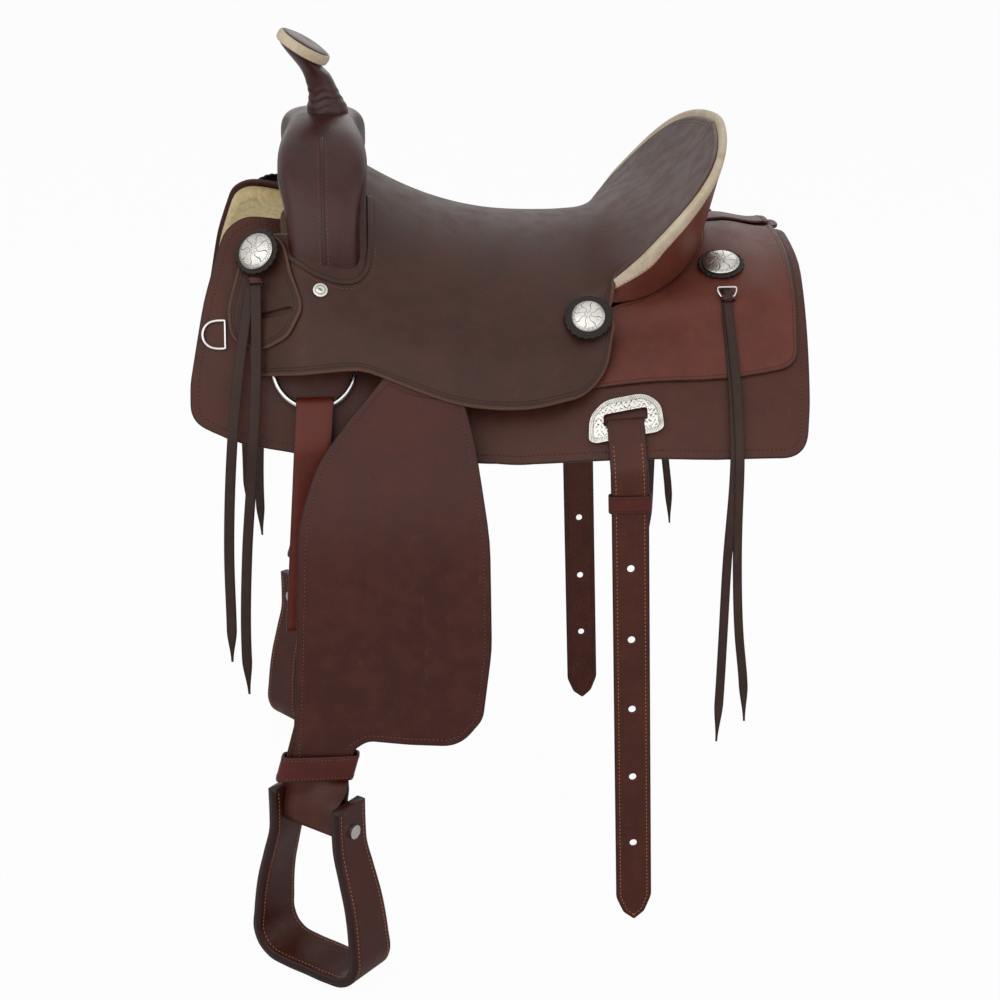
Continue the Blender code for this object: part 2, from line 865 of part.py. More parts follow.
def rim_points(count=28):
    """Points along the whole rim, near foot to far foot, at equal arc lengths."""
    dense = []
    for k in range(241):
        t = 1 - abs(1 - k / 120) ** 3
        point = rim_at(t)
        dense.append(Vector((point.x, -point.y if k < 120 else point.y, point.z)))
    return resample(dense, count)


def seam_at(angle, inset):
    """The seam between the cantle's back and a rear jockey in (x, v), drawn in by inset."""
    x = mix(rim_foot_x + 0.002, cantle_seam_x - inset, abs(math.cos(angle)) ** 0.77)
    v = (cantle_seam_half - inset) * math.copysign(abs(math.sin(angle)), angle)
    return x, v


def seam_height(x, v):
    return jockey_top(x, v) + 3 * clearance


def seam_points(count=28):
    """Points along the seam where the cantle's back meets the rear jockeys."""
    dense = []
    for k in range(241):
        x, v = seam_at(math.radians(-90 + 180 * k / 240), 0.0)
        dense.append(back(x, v, seam_height))
    return resample(dense, count)


def resample(points, count):
    lengths = [0.0]
    for a, b in zip(points, points[1:]):
        lengths.append(lengths[-1] + (b - a).length)
    found = []
    k = 0
    for m in range(count + 1):
        goal = lengths[-1] * m / count
        while k < len(points) - 2 and lengths[k + 1] < goal:
            k += 1
        span = max(lengths[k + 1] - lengths[k], 1e-9)
        found.append(points[k].lerp(points[k + 1], (goal - lengths[k]) / span))
    return found


def band_taper(share):
    """The binding's size against its full size, share of the way round the rim."""
    return mix(0.45, 1.0, smooth(0.0, 0.125, min(share, 1 - share)))


def band_reach(share):
    """How far down from the rim the binding reaches."""
    return band_depth * band_taper(share) - band_rise


def cantle_sheet(outer_offset, inner_offset, bottom_rise, ends, rows=3):
    """Rings round the sheet between seam and binding, moved inward by the two offsets."""
    rim = rim_points()
    seam = seam_points()
    last = len(rim) - 1
    rings = []
    for k in range(ends, last + 1 - ends):
        top, foot = rim[k], seam[k]
        up = top - foot
        run = (rim[min(k + 1, last)] - rim[max(k - 1, 0)]) + (seam[min(k + 1, last)] - seam[max(k - 1, 0)])
        inward = up.cross(run).normalized()
        rim_run = (rim[min(k + 1, last)] - rim[max(k - 1, 0)]).normalized()
        off_rim = (up - rim_run * up.dot(rim_run)).length
        high = 1 - (band_reach(k / last) + 3 * clearance) / off_rim
        low = bottom_rise / up.length
        line = [mix(low, high, r / rows) for r in range(rows + 1)]
        ring = [foot + up * w + inward * outer_offset for w in line]
        ring += [foot + up * w + inward * inner_offset for w in reversed(line)]
        rings.append(ring)
    return rings


def binding_rings(extra):
    """Oval sections of the rawhide band along the rim, extra metres larger all round."""
    count = 32
    rim = rim_points(count)
    seam = seam_points(count)
    rings = []
    for k, point in enumerate(rim):
        run = (rim[min(k + 1, count)] - rim[max(k - 1, 0)]).normalized()
        down = seam[k] - point + Vector((0.0, 0.0, -0.006))
        down = (down - run * down.dot(run)).normalized()
        outward = down.cross(run).normalized()
        taper = band_taper(k / count)
        half_deep = band_depth / 2 * taper
        half_thick = band_thick / 2 * taper
        centre = point + down * (half_deep - band_rise) + outward * (0.002 - half_thick)
        ring = []
        for m in range(8):
            angle = 2 * math.pi * (m + 0.5) / 8
            c, s = math.cos(angle), math.sin(angle)
            ring.append(centre + down * math.copysign(abs(c) ** 0.7, c) * (half_deep + extra)
                        + outward * math.copysign(abs(s) ** 0.7, s) * (half_thick + extra))
        rings.append(ring)
    if extra:
        for end, near in ((0, 1), (-1, -2)):
            push = [(a - b).normalized() * extra * 3 for a, b in zip(rings[end], rings[near])]
            rings[end] = [a + d for a, d in zip(rings[end], push)]
    return rings


def build_cantle():
    """Board, back cover and the rawhide band over the rim."""
    loft('cantle_back', cantle_sheet(-cantle_proud, cantle_leather - cantle_proud, 0.0, 3), leather('jockey'))
    start = cantle_leather - cantle_proud + 3 * clearance
    board = loft('cantle_board', cantle_sheet(start, start + board_thick, -0.008, 5), wood())
    for side, word in ((-1, 'left'), (1, 'right')):
        def over_bar(x, v):
            return bar_top(x) + clearance
        cut(board, tree_cutter('board_seat_' + word, side, (0.05, 0.29), (0.0, 0.26), over_bar))
    outline = [(0.02, -0.17), (0.262, -0.17), (0.262, 0.17), (0.02, 0.17)]

    def above(x, v, level):
        point = seat_point(x, v, seat_leather + ground_seat_thick + 2 * clearance)
        return point + Vector((-0.10, 0.0, 0.22)) * level
    cut(board, panel('above_seat', outline, 0.0, 1.0, None, above,
                     steps=(seat_step_x, seat_step_v), target=cutters))
    loft('cantle_binding', binding_rings(0.0), rawhide())
    return loft('binding_room', binding_rings(clearance), None, target=cutters)


def build_seat(binding_room):
    seat = panel('seat', seat_outline(), seat_leather, 0.0, leather('seat'), seat_point,
                 steps=(seat_step_x, seat_step_v))
    cut(seat, binding_room)
    rings = arch_rings(cover_leather + 3 * clearance)
    low = [Vector((p.x, p.y, p.z - 0.05)) for p in rings[0]]
    far = [Vector((p.x, p.y, p.z - 0.05)) for p in rings[-1]]
    cut(seat, loft('swell_room', [low] + rings + [far], None, target=cutters))
    half = fillet([(-0.140, 0.0, 0.0), (-0.140, 0.050, 0.02), (-0.110, 0.085, 0.03), (0.02, 0.095, 0.05),
                   (0.090, 0.085, 0.03), (0.150, 0.075, 0.05), (0.190, 0.050, 0.05), (0.200, 0.0, 0.0)])
    ring = half + [(x, -v) for x, v in reversed(half) if v > 0]
    top = seat_leather + clearance
    panel('ground_seat', ring, top + ground_seat_thick, top, material('ground_seat', (0.35, 0.28, 0.22), 0.7),
          seat_point, steps=(seat_step_x, seat_step_v))


# Skirts and jockeys

def skirt_corners(inset=0.0):
    return [(-0.246 + inset, 0.082 + inset, 0.02), (-0.285, 0.090 + inset, 0.06),
            (-0.306 + inset * 0.7, 0.112, 0.05), (-0.328 + inset, 0.190, 0.30),
            (-0.344 + inset, 0.275, 0.08), (-0.345 + inset, 0.314 - inset * 0.5, 0.055),
            (-0.300, 0.334 - inset, 0.12), (-0.225, 0.331 - inset, 0.30), (-0.100, 0.291 - inset, 0.60),
            (-0.020, 0.285 - inset, 0.50), (0.120, 0.307 - inset, 0.60), (0.210, 0.319 - inset, 0.60),
            (0.306 - inset, 0.325 - inset, 0.036), (0.313 - inset, 0.270, 0.30), (0.326 - inset, 0.090, 0.30),
            (0.322 - inset, 0.004 + inset, 0.02), (0.10, 0.004 + inset, 0.0),
            (-0.10, 0.010 + inset, 0.10), (-0.19, 0.050 + inset, 0.06)]


def jockey_outline():
    outer = fillet([(0.062, 0.165, 0.01), (0.066, 0.226, 0.02), (0.150, 0.232, 0.30), (0.235, 0.240, 0.30),
                    (0.303, 0.231, 0.026), (0.311, 0.150, 0.20), (0.314, 0.070, 0.20), (0.310, 0.004, 0.006)])
    inner = [seam_at(math.radians(angle), 0.0005) for angle in (2, 12, 22, 33, 44, 55, 66, 76, 84)]
    return outer + inner


def build_skirts(side, word):
    placed = sided(back, side)
    fleece_look = material('fleece', (0.62, 0.50, 0.30), 0.95)
    panel('fleece_' + word, fillet(skirt_corners(fleece_inset)), 0.0, fleece_thick, fleece_look, placed)
    panel('skirt_' + word, fillet(skirt_corners()), fleece_thick + clearance, skirt_top,
          leather('skirt'), placed)
    panel('rear_jockey_' + word, jockey_outline(), jockey_bottom, jockey_top, leather('jockey'), placed)


# Fender and stirrup

def ring_height():
    """The ring's middle over the underside, clear of the latigo's back ply."""
    return skirt_top + strap_leather + ring_wire * 1.15


def plane_side(y, z):
    """Distance outward from the X axis along the fender plane's normal."""
    slope = math.radians(fender_slope)
    return y * math.sin(slope) + z * math.cos(slope)


plane_store = {}


def fender_plane():
    """Distance of the fender plane from the X axis, just clear of what the strap swings over."""
    if 'distance' not in plane_store:
        farthest = 0.0
        for x in lines_between(-0.25, 0.05, 0.025):
            for v in lines_between(0.16, 0.34, 0.02):
                farthest = max(farthest, plane_side(*back_section(x, v, skirt_top)))
        normal = true_normal(back, ring_x, ring_v, 0.0)
        frame = frame_matrix(back(ring_x, ring_v, ring_height()), normal)
        reach = ring_wire + strap_leather + clearance
        for k in range(8):
            angle = math.pi * k / 8
            spot = frame @ Vector((ring_radius * math.cos(angle), ring_radius * math.sin(angle), reach))
            farthest = max(farthest, plane_side(spot.y, spot.z))
        plane_store['distance'] = farthest + 2 * clearance
    return plane_store['distance']


def plane_height(x, v):
    """Height of the fender plane over the underside at x and v."""
    slope = section_slope(x, v)
    tilt = math.cos(slope - math.radians(fender_slope))
    return (fender_plane() - plane_side(*back_section(x, v, 0.0))) / tilt


def fender_path():
    """The inner face of the stirrup leather from the bar's top down to the bolt, as (s, y, z)."""
    slope = math.radians(fender_slope)
    down = Vector((math.cos(slope), -math.sin(slope)))
    out = Vector((math.sin(slope), math.cos(slope)))
    foot = Vector(back_section(leather_x, leather_v, bar_top(leather_x) + 2 * clearance))
    angle = section_slope(leather_x, leather_v)
    start_run = Vector((math.cos(angle), -math.sin(angle)))
    join = foot + down * 0.095
    join += out * (fender_plane() - join.dot(out))
    points = []
    for k in range(6):
        t = k / 6
        points.append(foot * (1 - t) ** 3 + (foot + start_run * 0.045) * 3 * t * (1 - t) ** 2
                      + (join - down * 0.035) * 3 * t * t * (1 - t) + join * t ** 3)
    points.append(join)
    spent = sum((b - a).length for a, b in zip(points, points[1:]))
    straight = fender_bend_start - spent
    points.append(join + down * straight)
    pieces = 5
    turn_end = math.radians(fender_end_slope)
    for k in range(pieces):
        now = mix(slope, turn_end, (k + 0.5) / pieces)
        points.append(points[-1] + Vector((math.cos(now), -math.sin(now))) * fender_bend_length / pieces)
    for _ in range(3):
        points.append(points[-1] + Vector((math.cos(turn_end), -math.sin(turn_end))) * 0.10)
    path = []
    length = 0.0
    for k, point in enumerate(points):
        if k:
            length += (point - points[k - 1]).length
        path.append((length, point.x, point.y))
    return path


fender_line = fender_path()


def on_path(path, s, h):
    """Half width and height on a path, h metres out from it, with mitred normals."""
    k = 0
    while k < len(path) - 2 and path[k + 1][0] < s:
        k += 1
    normals = []
    for m in (k, k + 1):
        first = path[max(m - 1, 0)]
        last = path[min(m + 1, len(path) - 1)]
        run = Vector((last[1] - first[1], last[2] - first[2])).normalized()
        normals.append(Vector((-run.y, run.x)))
    t = (s - path[k][0]) / (path[k + 1][0] - path[k][0])
    normal = normals[0].lerp(normals[1], min(max(t, 0.0), 1.0))
    y = mix(path[k][1], path[k + 1][1], t) + normal.x * h
    z = mix(path[k][2], path[k + 1][2], t) + normal.y * h
    return y, z


def leather_centre(s):
    """Middle of the stirrup leather in x: leaning to the hobble, then straight over the bolt."""
    low = hobble_s + hobble_height
    lean_x = leather_x - leather_lean * min(max(s, 0.0), low)
    return mix(lean_x, bolt_x, smooth(low, bolt_s - stirrup_ear - 0.004, s))


def fender_corners():
    """The fender's outline in (x, s): narrow at the top, belly to the rear, neck at the hobble."""
    low = hobble_s + hobble_height - 0.004
    neck = leather_centre(hobble_s) + 0.006
    end = leather_centre(low) + 0.006
    return [(-0.136, 0.123, 0.006), (-0.112, 0.1365, 0.04), (-0.085, 0.1420, 0.04), (-0.0566, 0.1408, 0.006),
            (-0.044, 0.200, 0.15), (-0.031, 0.300, 0.30), (-0.030, 0.420, 0.20), (-0.040, 0.500, 0.030),
            (-0.066, 0.531, 0.040), (-0.120, 0.527, 0.20), (-0.165, 0.521, 0.020),
            (neck + 0.031, hobble_s - 0.005, 0.006), (end + 0.030, low, 0.0), (end - 0.033, low, 0.0),
            (neck - 0.035, hobble_s - 0.02, 0.05), (-0.2385, 0.420, 0.20), (-0.232, 0.280, 0.15),
            (-0.210, 0.215, 0.10), (-0.175, 0.168, 0.10)]


def twist_at(s):
    """Turn of the leather about the vertical, grown between the hobble and the bolt."""
    low = hobble_s + hobble_height
    return math.radians(stirrup_twist) * smooth(low, bolt_s - stirrup_ear, s)


def on_leather(s, h, edge):
    """A point on the hanging leather: edge is -1 or 1 at its edges and 0 in its middle."""
    y, z = on_path(fender_line, s, h)
    axis_y, _ = on_path(fender_line, s, leather_stack / 2)
    turn = Matrix.Rotation(twist_at(s), 3, 'Z')
    offset = turn @ Vector((edge * leather_width / 2, y - axis_y, 0.0))
    return Vector((leather_centre(s) + offset.x, axis_y + offset.y, z))


def on_bar(v, h, edge):
    """A point on the part of the leather that lies round the bar."""
    x = leather_x + edge * leather_width / 2
    y, z = back_section(x, v, h)
    return Vector((x, y, z))


def leather_edge(edge):
    """One edge of the stirrup leather's closed loop, as points on its middle surface."""
    half = strap_leather / 2
    outer = leather_stack - half
    reach = sleeve_radius + bolt_clearance + half
    low = hobble_s + hobble_height
    join = 0.112
    top = bar_top(leather_x) + 4 * clearance + half
    under = skirt_top + 2 * clearance + half
    slope = section_slope(leather_x + edge * leather_width / 2, leather_v)
    first = on_bar(leather_v, top, edge)
    last = on_leather(join, outer, edge)
    down = (on_leather(join + 0.02, outer, edge) - last).normalized()
    run = Vector((0.0, math.cos(slope), -math.sin(slope)))
    points = [on_bar(2 * grid_v, top, edge), first]
    for k in range(1, 5):
        t = k / 5
        points.append(first * (1 - t) ** 3 + (first + run * 0.040) * 3 * t * (1 - t) ** 2
                      + (last - down * 0.035) * 3 * t * t * (1 - t) + last * t ** 3)
    hang = (join, 0.150, fender_bend_start, 0.275, 0.305, 0.335, 0.400, hobble_s, low,
            low + 0.010, low + 0.022,
            bolt_s - 0.020, bolt_s - 0.010)
    for s in hang:
        closing = smooth(low, bolt_s - 0.008, s)
        points.append(on_leather(s, mix(outer, leather_stack / 2 + reach, closing), edge))
    for k in range(7):
        angle = math.radians(90 - 30 * k)
        height = leather_stack / 2 + math.sin(angle) * reach
        points.append(on_leather(bolt_s + math.cos(angle) * reach, height, edge))
    for s in hang[:1:-1] + (0.165,):
        closing = smooth(low, bolt_s - 0.008, s)
        points.append(on_leather(s, mix(half, leather_stack / 2 - reach, closing), edge))
    for v in (5 * grid_v, 4 * grid_v, 3 * grid_v, 2 * grid_v, bar_inner + 0.006):
        points.append(on_bar(v, under, edge))
    middle = (top + under) / 2
    arc = (top - under) / 2
    for k in range(1, 6):
        angle = math.radians(-90 + 30 * k)
        v = bar_inner + 0.002 - arc * math.cos(angle) * 0.8
        points.append(on_bar(v, middle + arc * math.sin(angle), edge))
    points.append(on_bar(bar_inner + 0.006, top, edge))
    return points


def leather_loop(side, word):
    """One closed strap: over the bar, down behind the fender, round the bolt and back up."""
    edges = list(zip(leather_edge(-1), leather_edge(1)))
    spine = [(a + b) / 2 for a, b in edges]
    across = [(b - a) / 2 for a, b in edges]
    ribbon('stirrup_leather_' + word, spine, across, strap_leather, leather('strap'), side, closed=True)


def build_fender(side, word):
    low = leather_stack + clearance
    outline = fillet(fender_corners())
    bm = flat_solid(outline)
    grid_cut(bm, lines_between(-0.25, 0.0, 0.05), [s for s, _, _ in fender_line if 0.05 < s < 0.56])
    for vert in bm.verts:
        x, s, level = vert.co
        y, z = on_path(fender_line, s, low + fender_leather if level > 0 else low)
        vert.co = Vector((x, y * side, z))
    add_object('fender_' + word, bm, leather('fender'))


def bolt_point():
    """The middle of the stirrup's bolt on the off side."""
    y, z = on_path(fender_line, bolt_s, leather_stack / 2)
    return Vector((bolt_x, y, z))


def stirrup_frame(side):
    """Local axes of a stirrup: X along its bolt, Y through its opening, Z up."""
    turn = Matrix.Rotation(math.radians(stirrup_twist) * side, 4, 'Z')
    return Matrix.Translation(mirrored(bolt_point(), side)) @ turn


def stirrup_centreline():
    """The stirrup's centreline in (across, up), from one ear round the tread to the other."""
    leg_x = stirrup_neck / 2 + stirrup_thick / 2
    wide = stirrup_width / 2 - stirrup_thick / 2
    half = [(leg_x, stirrup_ear), (leg_x, 0.0), (leg_x + 0.001, -0.020), (mix(leg_x, wide, 0.35), -0.050),
            (mix(leg_x, wide, 0.72), -0.085), (wide - 0.001, -stirrup_height + 0.050),
            (wide, -stirrup_height + 0.026), (wide - 0.006, -stirrup_height + 0.012),
            (wide - 0.018, -stirrup_height + 0.003), (wide - 0.040, -stirrup_height)]
    return half + [(0.0, -stirrup_height)] + [(-x, z) for x, z in reversed(half)]


def build_stirrup(side, word):
    frame = stirrup_frame(side)
    line = [Vector(p) for p in stirrup_centreline()]
    corners = ((-1, -0.86), (-0.80, -1), (0.80, -1), (1, -0.86), (1, 0.86), (0.80, 1), (-0.80, 1), (-1, 0.86))
    rings = []
    for k, point in enumerate(line):
        run = (line[min(k + 1, len(line) - 1)] - line[max(k - 1, 0)]).normalized()
        normal = Vector((-run.y, run.x))
        down = min(max((-point.y - 0.02) / (stirrup_height - 0.04), 0.0), 1.0)
        depth = mix(stirrup_depth_top, stirrup_depth_tread, down) / 2
        thick = mix(stirrup_thick, stirrup_tread_thick, smooth(0.85, 1.0, down)) / 2
        ring = []
        for across, through in corners:
            flat = point + normal * thick * across
            ring.append(frame @ Vector((flat.x, through * depth, flat.y)))
        rings.append(ring)
    made = loft('stirrup_' + word, rings, leather('fender'))
    axle = frame @ Matrix.Rotation(math.radians(90), 4, 'Y')
    leg = stirrup_neck / 2
    wide = bolt_radius + bolt_clearance
    bore = [(0.0, leg + 0.02), (wide, leg + 0.02), (wide, -leg - 0.02), (0.0, -leg - 0.02)]
    cut(made, turned('stirrup_bore_' + word, bore, None, 12, axle, target=cutters))
    outer = leg + stirrup_thick + clearance
    sleeve = leg - clearance
    half = [(0.0, outer + bolt_head_thick), (bolt_head_radius, outer + bolt_head_thick),
            (bolt_head_radius, outer),
            (bolt_radius, outer), (bolt_radius, sleeve), (sleeve_radius, sleeve)]
    turned('stirrup_bolt_' + word, half + [(r, -z) for r, z in reversed(half)], chrome(), 12, axle)


def build_hobble(side, word):
    """The strap buckled round the leathers and the fender's neck."""
    inside = -2 * clearance
    outside = leather_stack + fender_leather + 3 * clearance
    half = leather_width / 2 + 3 * clearance
    rings = []
    middle = (inside + outside) / 2
    for across, level in ((-1, -1), (1, -1), (1.02, 0), (1, 1), (0, 1.15), (-1, 1), (-1.02, 0)):
        ring = []
        low = hobble_s + hobble_height
        for s, skin in ((hobble_s, 0), (low, 0), (low, 1), (hobble_s, 1)):
            offset = across * (half + skin * strap_leather)
            h = middle + level * (outside - middle + skin * strap_leather)
            y, z = on_path(fender_line, s, h)
            ring.append(Vector((leather_x - leather_lean * s + offset, y * side, z)))
        rings.append(ring)
    loft('hobble_strap_' + word, rings, leather('latigo'), closed=True)


# Rigging

def ring_frame():
    """Far-side axes of the rigging ring: X forward-aft, Y down the side, Z outward."""
    return frame_matrix(back(ring_x, ring_v, ring_height()), true_normal(back, ring_x, ring_v, 0.0))


def build_latigo(side, word):
    """The ring and the strap folded over its lower arc."""
    frame = ring_frame()
    half = strap_leather / 2
    gap = ring_wire * 1.15 + 2 * clearance + half
    turn_at = math.sqrt(ring_radius ** 2 - (latigo_width / 2) ** 2)
    along = frame.to_3x3() @ Vector((1.0, 0.0, 0.0))
    out = frame.to_3x3() @ Vector((0.0, 0.0, 1.0))
    hang = [frame @ Vector((0.0, turn_at, 0.0)), frame @ Vector((0.0, turn_at + 0.016, 0.0)),
            frame @ Vector((0.0, turn_at + latigo_leave, 0.0))]
    run = (hang[1] - hang[0]).normalized()
    for k in range(4):
        run = run.lerp(Vector((0.0, 0.06, -1.0)), 0.5).normalized()
        hang.append(hang[-1] + run * 0.018)
    drop = hang[-1].z - (hang[0].z - latigo_length)
    hang.append(hang[-1] + Vector((0.0, 0.002, -drop)))
    outward = []
    across = []
    for k in range(len(hang)):
        t = smooth(0, 6, k)
        run = (hang[min(k + 1, len(hang) - 1)] - hang[max(k - 1, 0)]).normalized()
        line = along.lerp(Vector((1.0, 0.0, 0.0)), t).normalized()
        outward.append(line.cross(run).normalized())
        across.append(line * latigo_width / 2)
        hang[k].x -= latigo_lean * (hang[0].z - hang[k].z)
    if outward[0].dot(out) < 0:
        outward = [-o for o in outward]
    spread = [mix(gap, half + clearance / 2, smooth(1, 4, k)) for k in range(len(hang))]
    spine = [p - o * g for p, o, g in zip(hang, outward, spread)][::-1]
    spine[0].z -= 0.004
    turns = (-60, -30, 0, 30, 60)
    down = frame.to_3x3() @ Vector((0.0, 1.0, 0.0))
    for angle in turns:
        a = math.radians(angle)
        spine.append(hang[0] - down * gap * math.cos(a) + out * gap * math.sin(a))
    spine += [p + o * g for p, o, g in zip(hang, outward, spread)]
    across = across[::-1] + [across[0]] * len(turns) + across
    name = 'latigo_left' if side < 0 else 'off_billet_right'
    ribbon(name, spine, across, strap_leather, leather('latigo'), side)
    ring = [mirrored(frame @ Vector((ring_radius * math.cos(a), ring_radius * math.sin(a), 0.0)), side)
            for a in (2 * math.pi * k / ring_pieces for k in range(ring_pieces))]
    wire('rigging_ring_' + word, ring, ring_wire, chrome(), sides=1)


def build_rear_rigging(side, word):
    """Slotted plate, the billet folded through its slot and the keeper round both plies."""
    half = plate_width / 2
    top = plate_v - plate_height / 2
    low = plate_v + plate_height / 2
    outline = fillet([(plate_x - half, low - 0.004, 0.012), (plate_x - half + 0.002, top + 0.014, 0.02),
                      (plate_x - half * 0.55, top, 0.03), (plate_x + half * 0.55, top, 0.03),
                      (plate_x + half - 0.002, top + 0.014, 0.02), (plate_x + half, low - 0.004, 0.012),
                      (plate_x + half * 0.8, low, 0.012), (plate_x - half * 0.8, low, 0.012)])
    slot_half = billet_width / 2 + 0.003
    slot_top = plate_v - slot_half_height
    slot_low = plate_v + slot_half_height
    slot = fillet([(plate_x - slot_half, slot_top, 0.003), (plate_x + slot_half, slot_top, 0.003),
                   (plate_x + slot_half, slot_low, 0.003), (plate_x - slot_half, slot_low, 0.003)], steps=2)
    lift = skirt_top + strap_leather + 2 * clearance
    panel('rear_rigging_plate_' + word, outline, lift, lift + plate_thick, silver(),
          sided(back, side), holes=[slot])
    build_billet(side, word, lift)


def billet_spine(lift):
    """Middle line and half widths of the billet: up its back ply, through the slot, down the front."""
    half = strap_leather / 2
    under = skirt_top + clearance + half
    over = lift + plate_thick + clearance + half
    middle = (over + under) / 2
    arc = (over - under) / 2
    turn_v = plate_v + slot_half_height - clearance / 2

    def spot(v, h, edge=0):
        return back(plate_x + edge * billet_width / 2, v, h)
    levels = (turn_v, 8 * grid_v, 9 * grid_v)
    hang = [spot(v, middle) for v in levels]
    across = [(spot(v, middle, 1) - spot(v, middle, -1)) / 2 for v in levels]
    slope = section_slope(plate_x, 9 * grid_v)
    for _ in range(3):
        slope = mix(slope, math.radians(90), 0.5)
        hang.append(hang[-1] + Vector((0.0, math.cos(slope), -math.sin(slope))) * 0.010)
    hang.append(Vector((hang[-1].x, hang[-1].y, hang[0].z - billet_fold)))
    level_across = Vector((billet_width / 2, 0.0, 0.0))
    across += [across[-1].lerp(level_across, t) for t in (0.35, 0.7, 1.0, 1.0)]
    outward = []
    for k in range(len(hang)):
        run = (hang[min(k + 1, len(hang) - 1)] - hang[max(k - 1, 0)]).normalized()
        outward.append(across[k].cross(run).normalized())
    spread = [mix(arc, half + clearance / 2, smooth(2, 4.5, k)) for k in range(len(hang))]
    spine = [p - o * g for p, o, g in zip(hang, outward, spread)][::-1]
    turns = (-60, -30, 0, 30, 60)
    for angle in turns:
        a = math.radians(angle)
        spine.append(spot(turn_v - arc * math.cos(a), middle + arc * math.sin(a)))
    spine += [p + o * g for p, o, g in zip(hang, outward, spread)]
    tip = spine[-1] + Vector((0.0, 0.0, billet_fold - billet_length))
    spine += [tip + Vector((0.0, 0.0, billet_point)), tip + Vector((0.0, 0.0, billet_point * 0.35)), tip]
    across = across[::-1] + [across[0]] * len(turns) + across
    across += [level_across, level_across * 0.62, level_across * 0.12]
    return spine, across, hang[0].z


def build_billet(side, word, lift):
    spine, across, top_z = billet_spine(lift)
    for point in spine:
        point.x += billet_lean * max(top_z - point.z, 0.0)
    made = ribbon('rear_billet_' + word, spine, across, strap_leather, leather('strap'), side)
    tip = spine[-1]
    for k in range(hole_count):
        z = tip.z + billet_tip_to_hole + hole_pitch * k
        x = plate_x + billet_lean * (top_z - z)
        place = frame_matrix(Vector((x, tip.y * side, z)), Vector((0.0, 1.0, 0.0)))
        profile = [(0.0, 0.01), (hole_radius, 0.01), (hole_radius, -0.01), (0.0, -0.01)]
        cut(made, turned('billet_hole_%s_%d' % (word, k), profile, None, 12, place, target=cutters))
    build_keeper(side, word, tip.y, top_z)


def build_keeper(side, word, front_y, top_z):
    """A loop round both plies of the billet above the end of its fold."""
    z_low = top_z - billet_fold + keeper_above_fold
    outer_y = front_y + strap_leather / 2 + clearance
    inner_y = front_y - strap_leather * 1.5 - 2 * clearance
    half = billet_width / 2 + clearance
    rings = []
    for sx, y, gy in ((-1, inner_y, -1), (1, inner_y, -1), (1, outer_y, 1), (-1, outer_y, 1)):
        ring = []
        for z, skin in ((z_low, 0), (z_low + keeper_height, 0), (z_low + keeper_height, 1), (z_low, 1)):
            centre = plate_x + billet_lean * (top_z - z)
            grow = skin * keeper_leather
            ring.append(Vector((centre + sx * (half + grow), (y + gy * grow) * side, z)))
        rings.append(ring)
    loft('billet_keeper_' + word, rings, leather('latigo'), closed=True)


def build_dee(side, word):
    """Breast-collar dee: its straight bar lies under the front edge of the latigo holder."""
    half = dee_length / 2
    centre = back(dee_x, dee_v, skirt_top + 2 * clearance + dee_wire)
    frame = side_frame(centre, true_normal(back, dee_x, dee_v, 0.0), side)
    reach = dee_reach - half
    points = [(0.0, half), (-reach, half)]
    bow = [math.radians(60 - 30 * k) for k in range(5)]
    points += [(-reach - half * math.cos(a), half * math.sin(a)) for a in bow]
    points += [(-reach, -half), (0.0, -half)]
    wire('breast_dee_' + word, [frame @ Vector((x, y, 0.0)) for x, y in points], dee_wire, chrome())


# Ornaments and strings

def disc_frame(place, at, radius, side):
    """Axes of a disc laid on place(x, v), raised until its whole face is clear of the surface."""
    def surface(x, v, _):
        return place(x, v)
    x, v = at
    normal = true_normal(surface, x, v, 0.0)
    centre = place(x, v)
    lift = 0.0
    for k in range(24):
        for share in (0.35, 0.7, 1.0):
            dx = radius * share * math.cos(math.pi * k / 12)
            dv = radius * share * math.sin(math.pi * k / 12)
            lift = max(lift, (place(x + dx, v + dv) - centre).dot(normal))
    return side_frame(centre + normal * (lift + 1.5 * clearance), normal, side)


def seat_face(x, v):
    return seat_point(x, v, 0.0)


def holder_face(x, v):
    return seat_point(x, v, -holder_lift - holder_leather)


def jockey_face(x, v):
    return back(x, v, jockey_top)


def rosette(name, frame, radius):
    """A leather disc with a scalloped edge."""
    ring = []
    for k in range(rosette_scallops * 2):
        angle = math.pi * k / rosette_scallops
        reach = radius if k % 2 else radius * 0.945
        ring.append((reach * math.cos(angle), reach * math.sin(angle)))
    bm = flat_solid(ring)
    for vert in bm.verts:
        vert.co = frame @ Vector((vert.co.x, vert.co.y, rosette_thick if vert.co.z > 0 else 0.0))
    add_object(name, bm, leather('rosette'))


def concho(name, frame, radius):
    """A domed disc with a thin flat rim."""
    rise = concho_height
    profile = [(0.0, rise), (radius * 0.45, rise * 0.90), (radius * 0.75, rise * 0.62),
               (radius * 0.95, rise * 0.25),
               (radius, rise * 0.18), (radius, 0.0), (0.0, 0.0)]
    turned(name, profile, silver(), 18, frame)


def build_ornaments(side, word):
    stack = (('front', holder_face, front_concho_at, front_concho_radius),
             ('cantle', seat_face, cantle_concho_at, cantle_concho_radius),
             ('rear', jockey_face, rear_concho_at, front_concho_radius))
    for place, surface, at, radius in stack:
        frame = disc_frame(surface, at, rosette_radius, side)
        rosette('%s_rosette_%s' % (place, word), frame, rosette_radius)
        top = frame @ Matrix.Translation((0.0, 0.0, rosette_thick + clearance))
        concho('%s_concho_%s' % (place, word), top, radius)
    profile = [(0.0, 0.0035), (0.0045, 0.0032), (0.0055, 0.0018),
               (screw_radius, 0.0012), (screw_radius, 0.0), (0.0, 0.0)]
    turned('seat_screw_' + word, profile, chrome(), 16, disc_frame(seat_face, screw_at, screw_radius, side))


